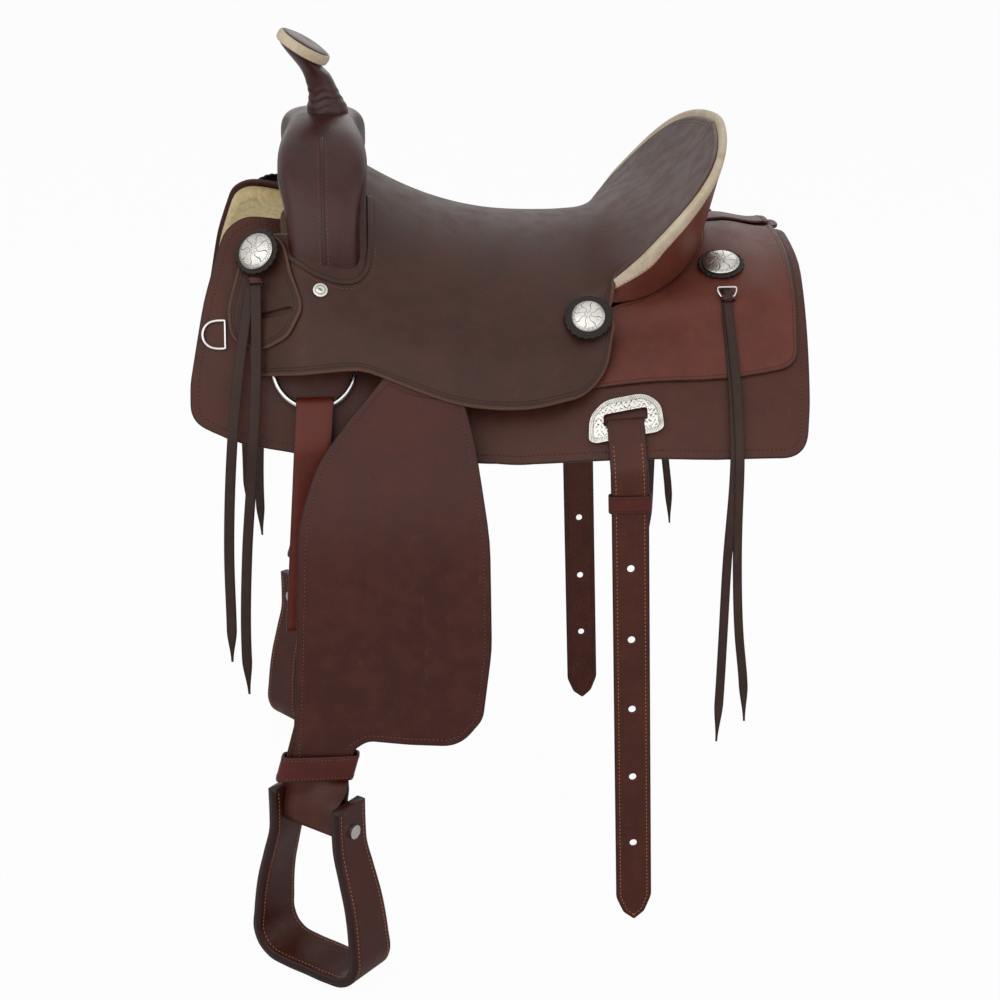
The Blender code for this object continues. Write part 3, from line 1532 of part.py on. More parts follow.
def build_holder(side, word):
    """Teardrop latigo holder under the front concho, with its slot."""
    outline = fillet([(-0.272, 0.108, 0.02), (-0.240, 0.118, 0.03), (-0.232, 0.155, 0.06),
                      (-0.220, 0.188, 0.025),
                      (-0.236, 0.218, 0.03), (-0.262, 0.234, 0.03), (-0.299, 0.232, 0.02),
                      (-0.303, 0.200, 0.05),
                      (-0.290, 0.150, 0.05)])
    slot = fillet([(-0.266, 0.198, 0.0025), (-0.232, 0.189, 0.0025),
                   (-0.231, 0.194, 0.0025), (-0.265, 0.203, 0.0025)], steps=2)
    panel('latigo_holder_' + word, outline, -holder_lift, -holder_lift - holder_leather, leather('seat'),
          sided(seat_point, side), holes=[slot], steps=(seat_step_x, seat_step_v))


def string_line(x, v_start, height, edge_v, length):
    """Inner face of a hanging string: down the saddle's side, then straight down."""
    levels = [v_start] + [v for v in lines_between(v_start, edge_v, grid_v) if v - v_start > 0.004] + [edge_v]
    points = [Vector(back_section(x, v, height)) for v in levels]
    slope = section_slope(x, edge_v)
    for _ in range(4):
        slope = mix(slope, math.radians(90), 0.5)
        points.append(points[-1] + Vector((math.cos(slope), -math.sin(slope))) * 0.018)
    points.append(Vector((points[-1].x, points[0].y - length * 0.6)))
    points.append(Vector((points[-1].x, points[0].y - length - 0.01)))
    path = []
    total = 0.0
    for k, point in enumerate(points):
        if k:
            total += (point - points[k - 1]).length
        path.append((total, point.x, point.y))
    return path


def build_strings(name, side, path, outline):
    """A pair of string tails cut as one piece under their knot."""
    bm = flat_solid(outline)
    ss = [p[1] for p in outline]
    grid_cut(bm, [], [s for s, _, _ in path if min(ss) < s < max(ss)])
    for vert in bm.verts:
        x, s, level = vert.co
        y, z = on_path(path, s, string_thick if level > 0 else 0.0)
        vert.co = Vector((x, y * side, z))
    add_object(name, bm, leather('string'))


def tails(spots):
    return fillet([(x, s, 0.0) for x, s in spots])


def over_jockey(x, v):
    return jockey_top(x, v) + 4 * clearance


def build_all_strings(side, word):
    front = string_line(-0.285, 0.168, front_string_height, 0.326, 0.470)
    build_strings('front_strings_' + word, side, front, tails([
        (-0.279, 0.0), (-0.263, 0.0), (-0.266, 0.10), (-0.274, 0.200), (-0.283, 0.300), (-0.288, 0.420),
        (-0.293, 0.470), (-0.301, 0.400), (-0.296, 0.300), (-0.286, 0.200), (-0.280, 0.100), (-0.2795, 0.055),
        (-0.287, 0.100), (-0.297, 0.200), (-0.3035, 0.300), (-0.305, 0.400), (-0.311, 0.430), (-0.315, 0.390),
        (-0.314, 0.300), (-0.308, 0.200), (-0.298, 0.100), (-0.290, 0.050)]))
    rear = string_line(0.225, rear_concho_at[1] + 0.037, over_jockey, 0.321, 0.520)
    build_strings('rear_strings_' + word, side, rear, tails([
        (0.220, 0.0), (0.240, 0.0), (0.239, 0.12), (0.237, 0.30), (0.245, 0.40),
        (0.252, 0.485), (0.249, 0.505),
        (0.240, 0.455), (0.234, 0.39), (0.2295, 0.33), (0.2275, 0.40), (0.226, 0.45),
        (0.221, 0.53), (0.217, 0.50),
        (0.216, 0.45), (0.216, 0.40), (0.217, 0.30), (0.219, 0.12)]))


def main():
    build_tree()
    build_seat(build_cantle())
    for side, word in ((-1, 'left'), (1, 'right')):
        build_skirts(side, word)
        build_fender(side, word)
        leather_loop(side, word)
        build_stirrup(side, word)
        build_hobble(side, word)
        build_latigo(side, word)
        build_rear_rigging(side, word)
        build_dee(side, word)
        build_holder(side, word)
        build_ornaments(side, word)
        build_all_strings(side, word)


main()
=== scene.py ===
# Western trail saddle: leather, rawhide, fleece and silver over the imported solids.
import math
from functools import cache

import bmesh
import bpy
import numpy as np
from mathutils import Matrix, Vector
from mathutils.geometry import delaunay_2d_cdt


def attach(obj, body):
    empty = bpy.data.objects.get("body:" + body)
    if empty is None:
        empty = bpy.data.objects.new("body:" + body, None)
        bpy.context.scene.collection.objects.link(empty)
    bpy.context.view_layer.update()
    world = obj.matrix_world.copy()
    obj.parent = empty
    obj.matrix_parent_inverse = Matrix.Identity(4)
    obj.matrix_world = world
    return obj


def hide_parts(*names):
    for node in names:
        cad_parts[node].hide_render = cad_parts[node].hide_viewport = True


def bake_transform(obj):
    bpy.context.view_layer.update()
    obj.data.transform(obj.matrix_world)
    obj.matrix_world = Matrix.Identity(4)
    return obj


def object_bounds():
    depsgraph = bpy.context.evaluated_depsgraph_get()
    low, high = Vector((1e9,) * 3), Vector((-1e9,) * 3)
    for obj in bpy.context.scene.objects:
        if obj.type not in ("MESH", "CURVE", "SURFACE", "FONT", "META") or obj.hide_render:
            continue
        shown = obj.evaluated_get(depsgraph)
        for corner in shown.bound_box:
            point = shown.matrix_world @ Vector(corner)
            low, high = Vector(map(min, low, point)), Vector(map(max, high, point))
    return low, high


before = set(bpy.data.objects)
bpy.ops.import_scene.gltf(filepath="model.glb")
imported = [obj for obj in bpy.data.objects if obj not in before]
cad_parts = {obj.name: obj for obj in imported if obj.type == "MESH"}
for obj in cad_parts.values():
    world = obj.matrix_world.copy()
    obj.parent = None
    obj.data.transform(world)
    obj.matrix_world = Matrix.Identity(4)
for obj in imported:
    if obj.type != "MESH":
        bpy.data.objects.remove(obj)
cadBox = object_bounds()
sides = ((-1, 'left', 'near'), (1, 'right', 'off'))
print('saddle: frame loaded')

# Camera, lights and background
studio = {
    'target': (0.0, 0.0, -0.285), 'distance': 2.62, 'azimuth': -4.0, 'elevation': 21.5,
    'lens': 79.2, 'sensor': 36.0,
    'lamps': {  # azimuth and elevation in degrees, distance, size, power
        'keyLamp': (-34, 26, 3.2, 4.6, 56.0), 'fillLamp': (44, 18, 3.4, 4.0, 27.0),
        'topLamp': (5, 80, 3.0, 2.4, 5.0), 'rimLamp': (160, 35, 3.2, 2.0, 9.0),
    },
    'ambient': 0.32, 'white': 0.975,
    'floorColour': (0.93, 0.93, 0.93), 'floorDrop': 0.004, 'floorGlow': 0.96, 'floorReach': 60,
}


# Unit vector towards a place at this azimuth (0 is the near side) and elevation, in degrees.
def viewDirection(azimuth, elevation):
    a, e = math.radians(azimuth), math.radians(elevation)
    return Vector((math.sin(a) * math.cos(e), -math.cos(a) * math.cos(e), math.sin(e)))


# The camera stands distance away from the target along viewDirection and looks at it.
def addCamera():
    target = Vector(studio['target'])
    place = target + viewDirection(studio['azimuth'], studio['elevation']) * studio['distance']
    data = bpy.data.cameras.new('camera')
    data.lens, data.sensor_width = studio['lens'], studio['sensor']
    camera = bpy.data.objects.new('camera', data)
    bpy.context.scene.collection.objects.link(camera)
    camera.location = place
    camera.rotation_euler = (target - place).to_track_quat('-Z', 'Y').to_euler()
    bpy.context.scene.camera = camera


# A rectangular lamp that looks at the origin; its height is 0.8 of its width.
def addLamp(name, azimuth, elevation, reach, size, power):
    data = bpy.data.lights.new(name, 'AREA')
    data.shape, data.size, data.size_y, data.energy = 'RECTANGLE', size, size * 0.8, power
    lamp = bpy.data.objects.new(name, data)
    bpy.context.scene.collection.objects.link(lamp)
    lamp.location = viewDirection(azimuth, elevation) * reach
    lamp.rotation_euler = (-lamp.location).to_track_quat('-Z', 'Y').to_euler()


# A number or colour is set on the socket itself, anything else is linked.
def plug(tree, value, socket):
    if isinstance(value, (int, float)):
        socket.default_value = value
    elif isinstance(value, tuple):
        socket.default_value = value if len(value) == 4 else (*value, 1.0)
    else:
        tree.links.new(value, socket)


# One Math node.
def calc(tree, kind, *values):
    made = tree.nodes.new('ShaderNodeMath')
    made.operation = kind
    for value, socket in zip(values, made.inputs):
        plug(tree, value, socket)
    return made.outputs[0]


# The second shader over the first, by share.
def mixedShader(tree, share, first, second):
    made = tree.nodes.new('ShaderNodeMixShader')
    for value, socket in zip((share, first.outputs[0], second.outputs[0]), made.inputs):
        plug(tree, value, socket)
    return made.outputs[0]


# White where the camera, a mirror or glass looks straight at it, else the plain shader.
def seenWhite(tree, plain):
    rays = tree.nodes.new('ShaderNodeLightPath').outputs
    seen = calc(tree, 'MAXIMUM', rays['Is Camera Ray'], rays['Is Glossy Ray'])
    white = tree.nodes.new('ShaderNodeBackground')
    white.inputs['Color'].default_value = (*[studio['white']] * 3, 1.0)
    white.inputs['Strength'].default_value = 1.0
    return mixedShader(tree, calc(tree, 'MAXIMUM', seen, rays['Is Transmission Ray']), plain, white)


# Camera, lamps, pale world and a floor just below the lowest stirrup.
def addStudio():
    addCamera()
    for name, lamp in studio['lamps'].items():
        addLamp(name, *lamp)
    world = bpy.data.worlds.new('studioWorld')
    bpy.context.scene.world = world
    world.use_nodes = True
    tree = world.node_tree
    plain = tree.nodes['Background']
    plain.inputs['Color'].default_value = (1.0, 1.0, 1.0, 1.0)
    plain.inputs['Strength'].default_value = studio['ambient']
    plug(tree, seenWhite(tree, plain), tree.nodes['World Output'].inputs[0])
    bpy.context.scene.view_settings.view_transform = 'Standard'
    low, far = cadBox[0][2] - studio['floorDrop'], studio['floorReach']
    mesh = bpy.data.meshes.new('floor')
    mesh.from_pydata([(-far, -far, low), (far, -far, low), (far, far, low), (-far, far, low)],
                     [], [(0, 1, 2, 3)])
    floor = bpy.data.objects.new('floor', mesh)
    bpy.context.scene.collection.objects.link(floor)
    look = bpy.data.materials.new('paleFloor')
    look.use_nodes = True
    tree = look.node_tree
    shader = tree.nodes['Principled BSDF']
    shader.inputs['Base Color'].default_value = (*studio['floorColour'], 1.0)
    shader.inputs['Roughness'].default_value = 0.9
    shader.inputs['Specular IOR Level'].default_value = 0.1
    seen = tree.nodes.new('ShaderNodeLightPath').outputs['Is Camera Ray']
    share = calc(tree, 'MULTIPLY', seen, studio['floorGlow'])
    glow = tree.nodes.new('ShaderNodeEmission')
    plug(tree, mixedShader(tree, share, shader, glow), tree.nodes['Material Output'].inputs[0])
    mesh.materials.append(look)


addStudio()
print('saddle: studio ready')


# Colour values of 0 to 255 to linear ones: (c / 255) to the power 2.2.
def toLinear(r, g, b):
    return tuple((c / 255.0) ** 2.2 for c in (r, g, b))


# Smooth step of value between low and high, given out between start and end.
def ranged(tree, value, low, high, start=0.0, end=1.0):
    made = tree.nodes.new('ShaderNodeMapRange')
    made.interpolation_type = 'SMOOTHSTEP'
    for goal, socket in zip((value, low, high, start, end), made.inputs):
        plug(tree, goal, socket)
    return made.outputs[0]


# Mix of two colours by share.
def blendColour(tree, share, first, second):
    made = tree.nodes.new('ShaderNodeMix')
    made.data_type = 'RGBA'
    made.blend_type = 'MIX'
    plug(tree, share, made.inputs[0])
    plug(tree, first, made.inputs[6])
    plug(tree, second, made.inputs[7])
    return made.outputs[2]


# Object coordinates, each axis times its stretch.
def objectSpace(tree, stretch=(1.0, 1.0, 1.0)):
    space = tree.nodes.new('ShaderNodeTexCoord').outputs['Object']
    if stretch == (1.0, 1.0, 1.0):
        return space
    turn = tree.nodes.new('ShaderNodeMapping')
    turn.inputs['Scale'].default_value = stretch
    tree.links.new(space, turn.inputs['Vector'])
    return turn.outputs['Vector']


# Fractal noise, about 0.5 on average.
def noise(tree, space, scale, detail=3.0, rough=0.5, warp=0.0):
    made = tree.nodes.new('ShaderNodeTexNoise')
    tree.links.new(space, made.inputs['Vector'])
    for name, value in (('Scale', scale), ('Detail', detail), ('Roughness', rough),
                        ('Distortion', warp)):
        made.inputs[name].default_value = value
    return made.outputs[0]


# Distance to the nearest cell's point, in cells.
def cells(tree, space, scale, feature='F1'):
    made = tree.nodes.new('ShaderNodeTexVoronoi')
    made.feature = feature
    tree.links.new(space, made.inputs['Vector'])
    made.inputs['Scale'].default_value = scale
    return made.outputs['Distance']


# A value that the mesh holds at each point.
def attribute(tree, name):
    made = tree.nodes.new('ShaderNodeAttribute')
    made.attribute_name = name
    return made.outputs['Fac']


# Height of a pattern as bump, distance in metres.
def bumped(tree, height, strength, distance, shader):
    made = tree.nodes.new('ShaderNodeBump')
    made.inputs['Strength'].default_value = strength
    made.inputs['Distance'].default_value = distance
    tree.links.new(height, made.inputs['Height'])
    tree.links.new(made.outputs[0], shader.inputs['Normal'])


# An empty material with its tree and main shader; cache makes each look once.
def newLook(name):
    made = bpy.data.materials.new(name)
    made.use_nodes = True
    return made, made.node_tree, made.node_tree.nodes['Principled BSDF']


leatherTones = {
    'seat': dict(base=(68, 45, 39), deep=(50, 33, 29), warm=(86, 57, 48), edge=(48, 33, 29),
                 lines=(), rough=0.50, grain=0.40, coat=0.03, mottle=0.30),
    'flap': dict(base=(68, 43, 36), deep=(48, 31, 26), warm=(88, 56, 47), edge=(100, 70, 56),
                 lines=(0.0042, 0.0068), rough=0.48, grain=0.40, coat=0.03, mottle=0.30),
    'swell': dict(base=(60, 32, 27), deep=(42, 24, 21), warm=(80, 39, 33), edge=(60, 32, 27),
                  lines=(), rough=0.34, grain=0.28, coat=0.16, mottle=0.30),
    'skirt': dict(base=(78, 45, 37), deep=(58, 34, 28), warm=(98, 58, 48), edge=(48, 31, 27),
                  lines=(0.0085,), rough=0.50, grain=0.40, coat=0.03, mottle=0.30),
    'jockey': dict(base=(102, 54, 44), deep=(78, 40, 33), warm=(124, 70, 57), edge=(56, 33, 29),
                   lines=(0.0040,), rough=0.46, grain=0.38, coat=0.05, mottle=0.30),
    'fender': dict(base=(68, 32, 26), deep=(50, 24, 20), warm=(90, 47, 38), edge=(40, 23, 21),
                   lines=(0.0075,), rough=0.45, grain=0.40, coat=0.06, mottle=0.28),
    'strap': dict(base=(74, 35, 26), deep=(54, 26, 21), warm=(94, 46, 34), edge=(42, 24, 20),
                  lines=(0.0050,), rough=0.44, grain=0.32, coat=0.08, mottle=0.28),
    'latigo': dict(base=(100, 39, 28), deep=(74, 29, 22), warm=(122, 52, 38), edge=(64, 29, 23),
                   lines=(), rough=0.42, grain=0.26, coat=0.08, mottle=0.28),
    'hobble': dict(base=(82, 33, 27), deep=(60, 25, 21), warm=(102, 43, 35), edge=(44, 24, 21),
                   lines=(0.0035,), rough=0.42, grain=0.28, coat=0.08, mottle=0.28),
    'rosette': dict(base=(42, 34, 31), deep=(30, 25, 23), warm=(56, 44, 40), edge=(32, 26, 24),
                    lines=(), rough=0.50, grain=0.32, coat=0.03, mottle=0.28),
    'string': dict(base=(60, 43, 37), deep=(42, 31, 27), warm=(78, 56, 47), edge=(46, 34, 30),
                   lines=(), rough=0.56, grain=0.32, coat=0.01, mottle=0.28),
}


# Mottled dye, pebbled grain with pores, pressed border lines, rubbed, burnished edges and pale
# vertical streaks of painted sheen.
@cache
def leatherLook(kind):
    tone = leatherTones[kind]
    made, tree, shader = newLook('leather_' + kind)
    space = objectSpace(tree)
    base, deep, warm, edge = (toLinear(*tone[k]) for k in ('base', 'deep', 'warm', 'edge'))
    broad = ranged(tree, noise(tree, space, 7.0, 4.0, 0.55, 0.6), 0.32, 0.70)
    mottle = ranged(tree, noise(tree, space, 46.0, 5.0, 0.62), 0.35, 0.72)
    colour = blendColour(tree, calc(tree, 'MULTIPLY_ADD', broad, 0.55, 0.45), deep, base)
    colour = blendColour(tree, calc(tree, 'MULTIPLY', mottle, tone['mottle']), colour, warm)
    # Pale streaks stretched up and down: a painted vertical sheen.
    streaks = noise(tree, objectSpace(tree, (1.0, 1.0, 0.22)), 95.0, 6.0, 0.7, 1.4)
    sheenStreaks = ranged(tree, streaks, 0.60, 0.80)
    colour = blendColour(tree, calc(tree, 'MULTIPLY', sheenStreaks, 0.16), colour, toLinear(150, 112, 96))
    grainNear = cells(tree, space, 780.0)
    grainFar = noise(tree, space, 420.0, 3.0, 0.6)
    pores = ranged(tree, cells(tree, space, 330.0), 0.05, 0.20)
    height = calc(tree, 'MULTIPLY_ADD', grainNear, 0.55, calc(tree, 'MULTIPLY', grainFar, 0.7))
    height = calc(tree, 'MULTIPLY_ADD', pores, 0.25, height)
    rim = attribute(tree, 'edge')
    wobble = calc(tree, 'MULTIPLY_ADD', noise(tree, space, 160.0, 2.0), 0.0012, rim)
    worn = ranged(tree, wobble, 0.0010, 0.0034, 1.0, 0.0)
    colour = blendColour(tree, calc(tree, 'MULTIPLY', worn, 0.85), colour, edge)
    colour = blendColour(tree, calc(tree, 'MULTIPLY', pores, -0.10), colour, deep)
    for line in tone['lines']:
        off = calc(tree, 'ABSOLUTE', calc(tree, 'SUBTRACT', rim, line))
        cut = ranged(tree, off, 0.0002, 0.0008, 1.0, 0.0)
        colour = blendColour(tree, calc(tree, 'MULTIPLY', cut, 0.60), colour, toLinear(30, 20, 18))
        height = calc(tree, 'MULTIPLY_ADD', cut, -1.3, height)
    plug(tree, colour, shader.inputs['Base Color'])
    gloss = calc(tree, 'MULTIPLY_ADD', mottle, 0.13, tone['rough'] - 0.07)
    gloss = calc(tree, 'MULTIPLY_ADD', worn, -0.08, gloss)
    plug(tree, gloss, shader.inputs['Roughness'])
    shader.inputs['Specular IOR Level'].default_value = 0.22
    shader.inputs['Coat Weight'].default_value = tone['coat']
    shader.inputs['Coat Roughness'].default_value = 0.38
    bumped(tree, height, tone['grain'], 0.0006, shader)
    return made


# Polished metal with fine scratches; engraved work keeps dark polish residue in its cuts.
@cache
def metalLook(name, pale, dark, rough, engraved=0.0):
    made, tree, shader = newLook(name)
    space = objectSpace(tree)
    scratch = noise(tree, objectSpace(tree, (1.0, 0.12, 1.0)), 900.0, 4.0, 0.7)
    tarnish = ranged(tree, noise(tree, space, 120.0, 5.0, 0.6), 0.45, 0.75)
    share = calc(tree, 'MULTIPLY', tarnish, 0.25)
    height = calc(tree, 'MULTIPLY', scratch, 0.2)
    if engraved:
        cut = attribute(tree, 'cut')
        residue = calc(tree, 'MULTIPLY', cut, engraved)
        share = calc(tree, 'MINIMUM', calc(tree, 'ADD', share, residue), 1.0)
    plug(tree, blendColour(tree, share, pale, dark), shader.inputs['Base Color'])
    plug(tree, calc(tree, 'MULTIPLY_ADD', scratch, 0.16, rough), shader.inputs['Roughness'])
    shader.inputs['Metallic'].default_value = 1.0
    bumped(tree, height, 0.12, 0.0002, shader)
    return made


# Bright rings, dees and bolts.
def chromeLook():
    return metalLook('polished_ring', (0.56, 0.55, 0.53), (0.28, 0.26, 0.24), 0.12)


# Conchos, screws and rear plates, dark in their cuts.
def silverLook():
    return metalLook('engraved_silver', (0.62, 0.60, 0.56), (0.030, 0.027, 0.024), 0.25, 0.95)


# Cream rawhide with long fibres, tea-coloured stains and a dull polish on its ridges.
@cache
def rawhideLook():
    made, tree, shader = newLook('rawhide_band')
    space = objectSpace(tree)
    fibre = noise(tree, objectSpace(tree, (1.0, 1.0, 0.18)), 520.0, 5.0, 0.65, 0.8)
    stain = ranged(tree, noise(tree, space, 38.0, 5.0, 0.6, 0.5), 0.35, 0.72)
    colour = blendColour(tree, stain, toLinear(206, 190, 164), toLinear(176, 152, 120))
    colour = blendColour(tree, calc(tree, 'MULTIPLY', fibre, 0.45), colour, toLinear(226, 212, 190))
    spots = ranged(tree, cells(tree, space, 210.0), 0.02, 0.16, 1.0, 0.0)
    colour = blendColour(tree, calc(tree, 'MULTIPLY', spots, 0.22), colour, toLinear(120, 92, 66))
    plug(tree, colour, shader.inputs['Base Color'])
    plug(tree, calc(tree, 'MULTIPLY_ADD', fibre, 0.2, 0.42), shader.inputs['Roughness'])
    shader.inputs['Subsurface Weight'].default_value = 0.08
    shader.inputs['Subsurface Radius'].default_value = (0.004, 0.003, 0.002)
    bumped(tree, calc(tree, 'MULTIPLY_ADD', stain, 0.5, fibre), 0.35, 0.0006, shader)
    return made


# Tan shearling: curled locks, darker between the curls.
@cache
def fleeceLook():
    made, tree, shader = newLook('shearling')
    space = objectSpace(tree)
    curls = cells(tree, space, 190.0, 'SMOOTH_F1')
    fluff = noise(tree, space, 620.0, 5.0, 0.7, 1.2)
    patch = ranged(tree, noise(tree, space, 24.0, 4.0), 0.35, 0.7)
    colour = blendColour(tree, patch, toLinear(206, 178, 118), toLinear(222, 200, 150))
    colour = blendColour(tree, calc(tree, 'MULTIPLY', ranged(tree, curls, 0.25, 0.75), 0.45),
                         colour, toLinear(168, 138, 84))
    colour = blendColour(tree, calc(tree, 'MULTIPLY', fluff, 0.4), colour, toLinear(228, 212, 170))
    plug(tree, colour, shader.inputs['Base Color'])
    shader.inputs['Roughness'].default_value = 0.95
    shader.inputs['Sheen Weight'].default_value = 0.25
    bumped(tree, calc(tree, 'SUBTRACT', fluff, curls), 0.55, 0.0018, shader)
    return made


# Waxed thread with a twisted lay and a little grime.
@cache
def threadLook(name, colour, lit):
    made, tree, shader = newLook(name)
    space = objectSpace(tree)
    twist = noise(tree, space, 1500.0, 2.0)
    grime = ranged(tree, noise(tree, space, 80.0, 3.0), 0.4, 0.7)
    plug(tree, blendColour(tree, calc(tree, 'MULTIPLY', grime, 0.6), toLinear(*lit),
                           toLinear(*colour)), shader.inputs['Base Color'])
    shader.inputs['Roughness'].default_value = 0.6
    bumped(tree, twist, 0.4, 0.0003, shader)
    return made


# Brown thread of the big leathers.
def darkThread():
    return threadLook('thread_brown', (78, 44, 36), (112, 66, 52))


# Light thread of billet, stirrup and cantle.
def tanThread():
    return threadLook('thread_tan', (150, 84, 52), (184, 116, 76))


# Grain stretched along x.
@cache
def woodLook():
    made, tree, shader = newLook('saddle_tree')
    grain = noise(tree, objectSpace(tree, (0.15, 1.0, 1.0)), 160.0, 6.0, 0.6, 0.8)
    plug(tree, blendColour(tree, grain, toLinear(66, 46, 33), toLinear(92, 66, 47)),
         shader.inputs['Base Color'])
    plug(tree, calc(tree, 'MULTIPLY_ADD', grain, 0.2, 0.55), shader.inputs['Roughness'])
    bumped(tree, grain, 0.3, 0.0006, shader)
    return made


# 3t^2 - 2t^3, where t goes from 0 at start to 1 at end.
def smooth(start, end, value):
    t = np.clip((value - start) / (end - start), 0.0, 1.0)
    return t * t * (3.0 - 2.0 * t)


# a where t is 0, b where t is 1.
def mix(a, b, t):
    return a + (b - a) * t


# Vectors divided by their length.
def unit(vectors):
    return vectors / np.maximum(np.linalg.norm(vectors, axis=-1, keepdims=True), 1e-9)


# Arrays into one smooth-shaded object with outward faces, riding on its body; given a tuple of
# bodies it stays unparented.
def meshObject(name, points, triangles, quads, look, body, nodes=(), edge=None, cut=None):
    mesh = bpy.data.meshes.new(name)
    mesh.vertices.add(len(points))
    mesh.vertices.foreach_set('co', np.ascontiguousarray(points, dtype=np.float32).ravel())
    triangles = np.asarray(triangles, dtype=np.int32).reshape(-1, 3)
    quads = np.asarray(quads, dtype=np.int32).reshape(-1, 4)
    corners = np.concatenate([triangles.ravel(), quads.ravel()])
    starts = np.concatenate([np.arange(len(triangles)) * 3,
                             np.arange(len(quads)) * 4 + len(triangles) * 3])
    mesh.loops.add(len(corners))
    mesh.loops.foreach_set('vertex_index', corners)
    mesh.polygons.add(len(starts))
    mesh.polygons.foreach_set('loop_start', starts.astype(np.int32))
    mesh.update(calc_edges=True)
    for title, values in (('edge', edge), ('cut', cut)):
        if values is not None:
            layer = mesh.attributes.new(title, 'FLOAT', 'POINT')
            layer.data.foreach_set('value', np.ascontiguousarray(values, dtype=np.float32))
    bm = bmesh.new()
    bm.from_mesh(mesh)
    bmesh.ops.remove_doubles(bm, verts=bm.verts[:], dist=2e-6)
    bmesh.ops.recalc_face_normals(bm, faces=bm.faces[:])
    bm.to_mesh(mesh)
    bm.free()
    mesh.shade_smooth()
    mesh.materials.append(look)
    made = bpy.data.objects.new(name, mesh)
    bpy.context.scene.collection.objects.link(made)
    if isinstance(body, tuple):
        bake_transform(made)
    else:
        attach(made, body)
    if nodes:
        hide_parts(*nodes)
    return made


# Each (x, y, radius) corner becomes a curve that starts and ends radius * tan(half the turn) away.
def roundCorners(corners, steps=10):
    ring = []
    for k, (cx, cy, radius) in enumerate(corners):
        before = Vector(corners[k - 1][:2]) - Vector((cx, cy))
        after = Vector(corners[(k + 1) % len(corners)][:2]) - Vector((cx, cy))
        turn = math.pi - before.angle(after)
        if radius <= 0 or turn < 0.02:
            ring.append((cx, cy))
            continue
        reach = min(radius * math.tan(turn / 2), before.length * 0.48, after.length * 0.48)
        start = Vector((cx, cy)) + before.normalized() * reach
        end = Vector((cx, cy)) + after.normalized() * reach
        pieces = max(2, round(steps * turn / 1.6))
        for m in range(pieces + 1):
            t = m / pieces
            point = start * (1 - t) ** 2 + Vector((cx, cy)) * 2 * t * (1 - t) + end * t * t
            ring.append((point.x, point.y))
    return np.array(ring)


# Points added along the long sides of an outline, no farther apart than spacing.
def densify(ring, spacing, closed=True):
    ring = np.asarray(ring, dtype=float)
    ends = np.roll(ring, -1, axis=0) if closed else ring[1:]
    parts = []
    for a, b in zip(ring, ends):
        count = max(1, math.ceil(np.linalg.norm(b - a) / spacing))
        parts.append(a + (b - a) * (np.arange(count) / count)[:, None])
    if not closed:
        parts.append(ring[-1:])
    return np.vstack(parts)


# The ring running anticlockwise (1) or clockwise (-1).
def turned(ring, wise):
    x, y = ring.T
    area = np.sum(x * np.roll(y, -1) - np.roll(x, -1) * y)
    return ring if area * wise > 0 else ring[::-1]


# The ring moved amount to its left, into the material.
def inset(ring, amount):
    run = unit(unit(np.roll(ring, -1, axis=0) - ring) + unit(ring - np.roll(ring, 1, axis=0)))
    return ring + np.stack([-run[:, 1], run[:, 0]], axis=1) * amount


# Distance of each point to the nearest side of the outlines.
def edgeDistance(points, rings):
    a = np.vstack(rings)
    b = np.vstack([np.roll(r, -1, axis=0) for r in rings])
    d = b - a
    size = np.maximum((d * d).sum(1), 1e-12)
    found = []
    for part in np.array_split(points, max(1, len(points) // 1500)):
        t = np.clip(((part[:, None] - a) * d).sum(-1) / size, 0.0, 1.0)
        found.append(np.linalg.norm(part[:, None] - a - t[..., None] * d, axis=-1).min(1))
    return np.concatenate(found)


# Even-odd crossings of a ray to +x.
def isInside(points, ring):
    a, b = ring, np.roll(ring, -1, axis=0)
    x, y = points[:, :1], points[:, 1:]
    crosses = (a[:, 1] > y) != (b[:, 1] > y)
    at = (b[:, 0] - a[:, 0]) * (y - a[:, 1]) / (b[:, 1] - a[:, 1] + 1e-12) + a[:, 0]
    return (crosses & (x < at)).sum(1) % 2 == 1


# Inside the first loop and outside the others, which are holes.
def inMaterial(points, loops):
    keep = isInside(points, loops[0])
    for hole in loops[1:]:
        keep &= ~isInside(points, hole)
    return keep


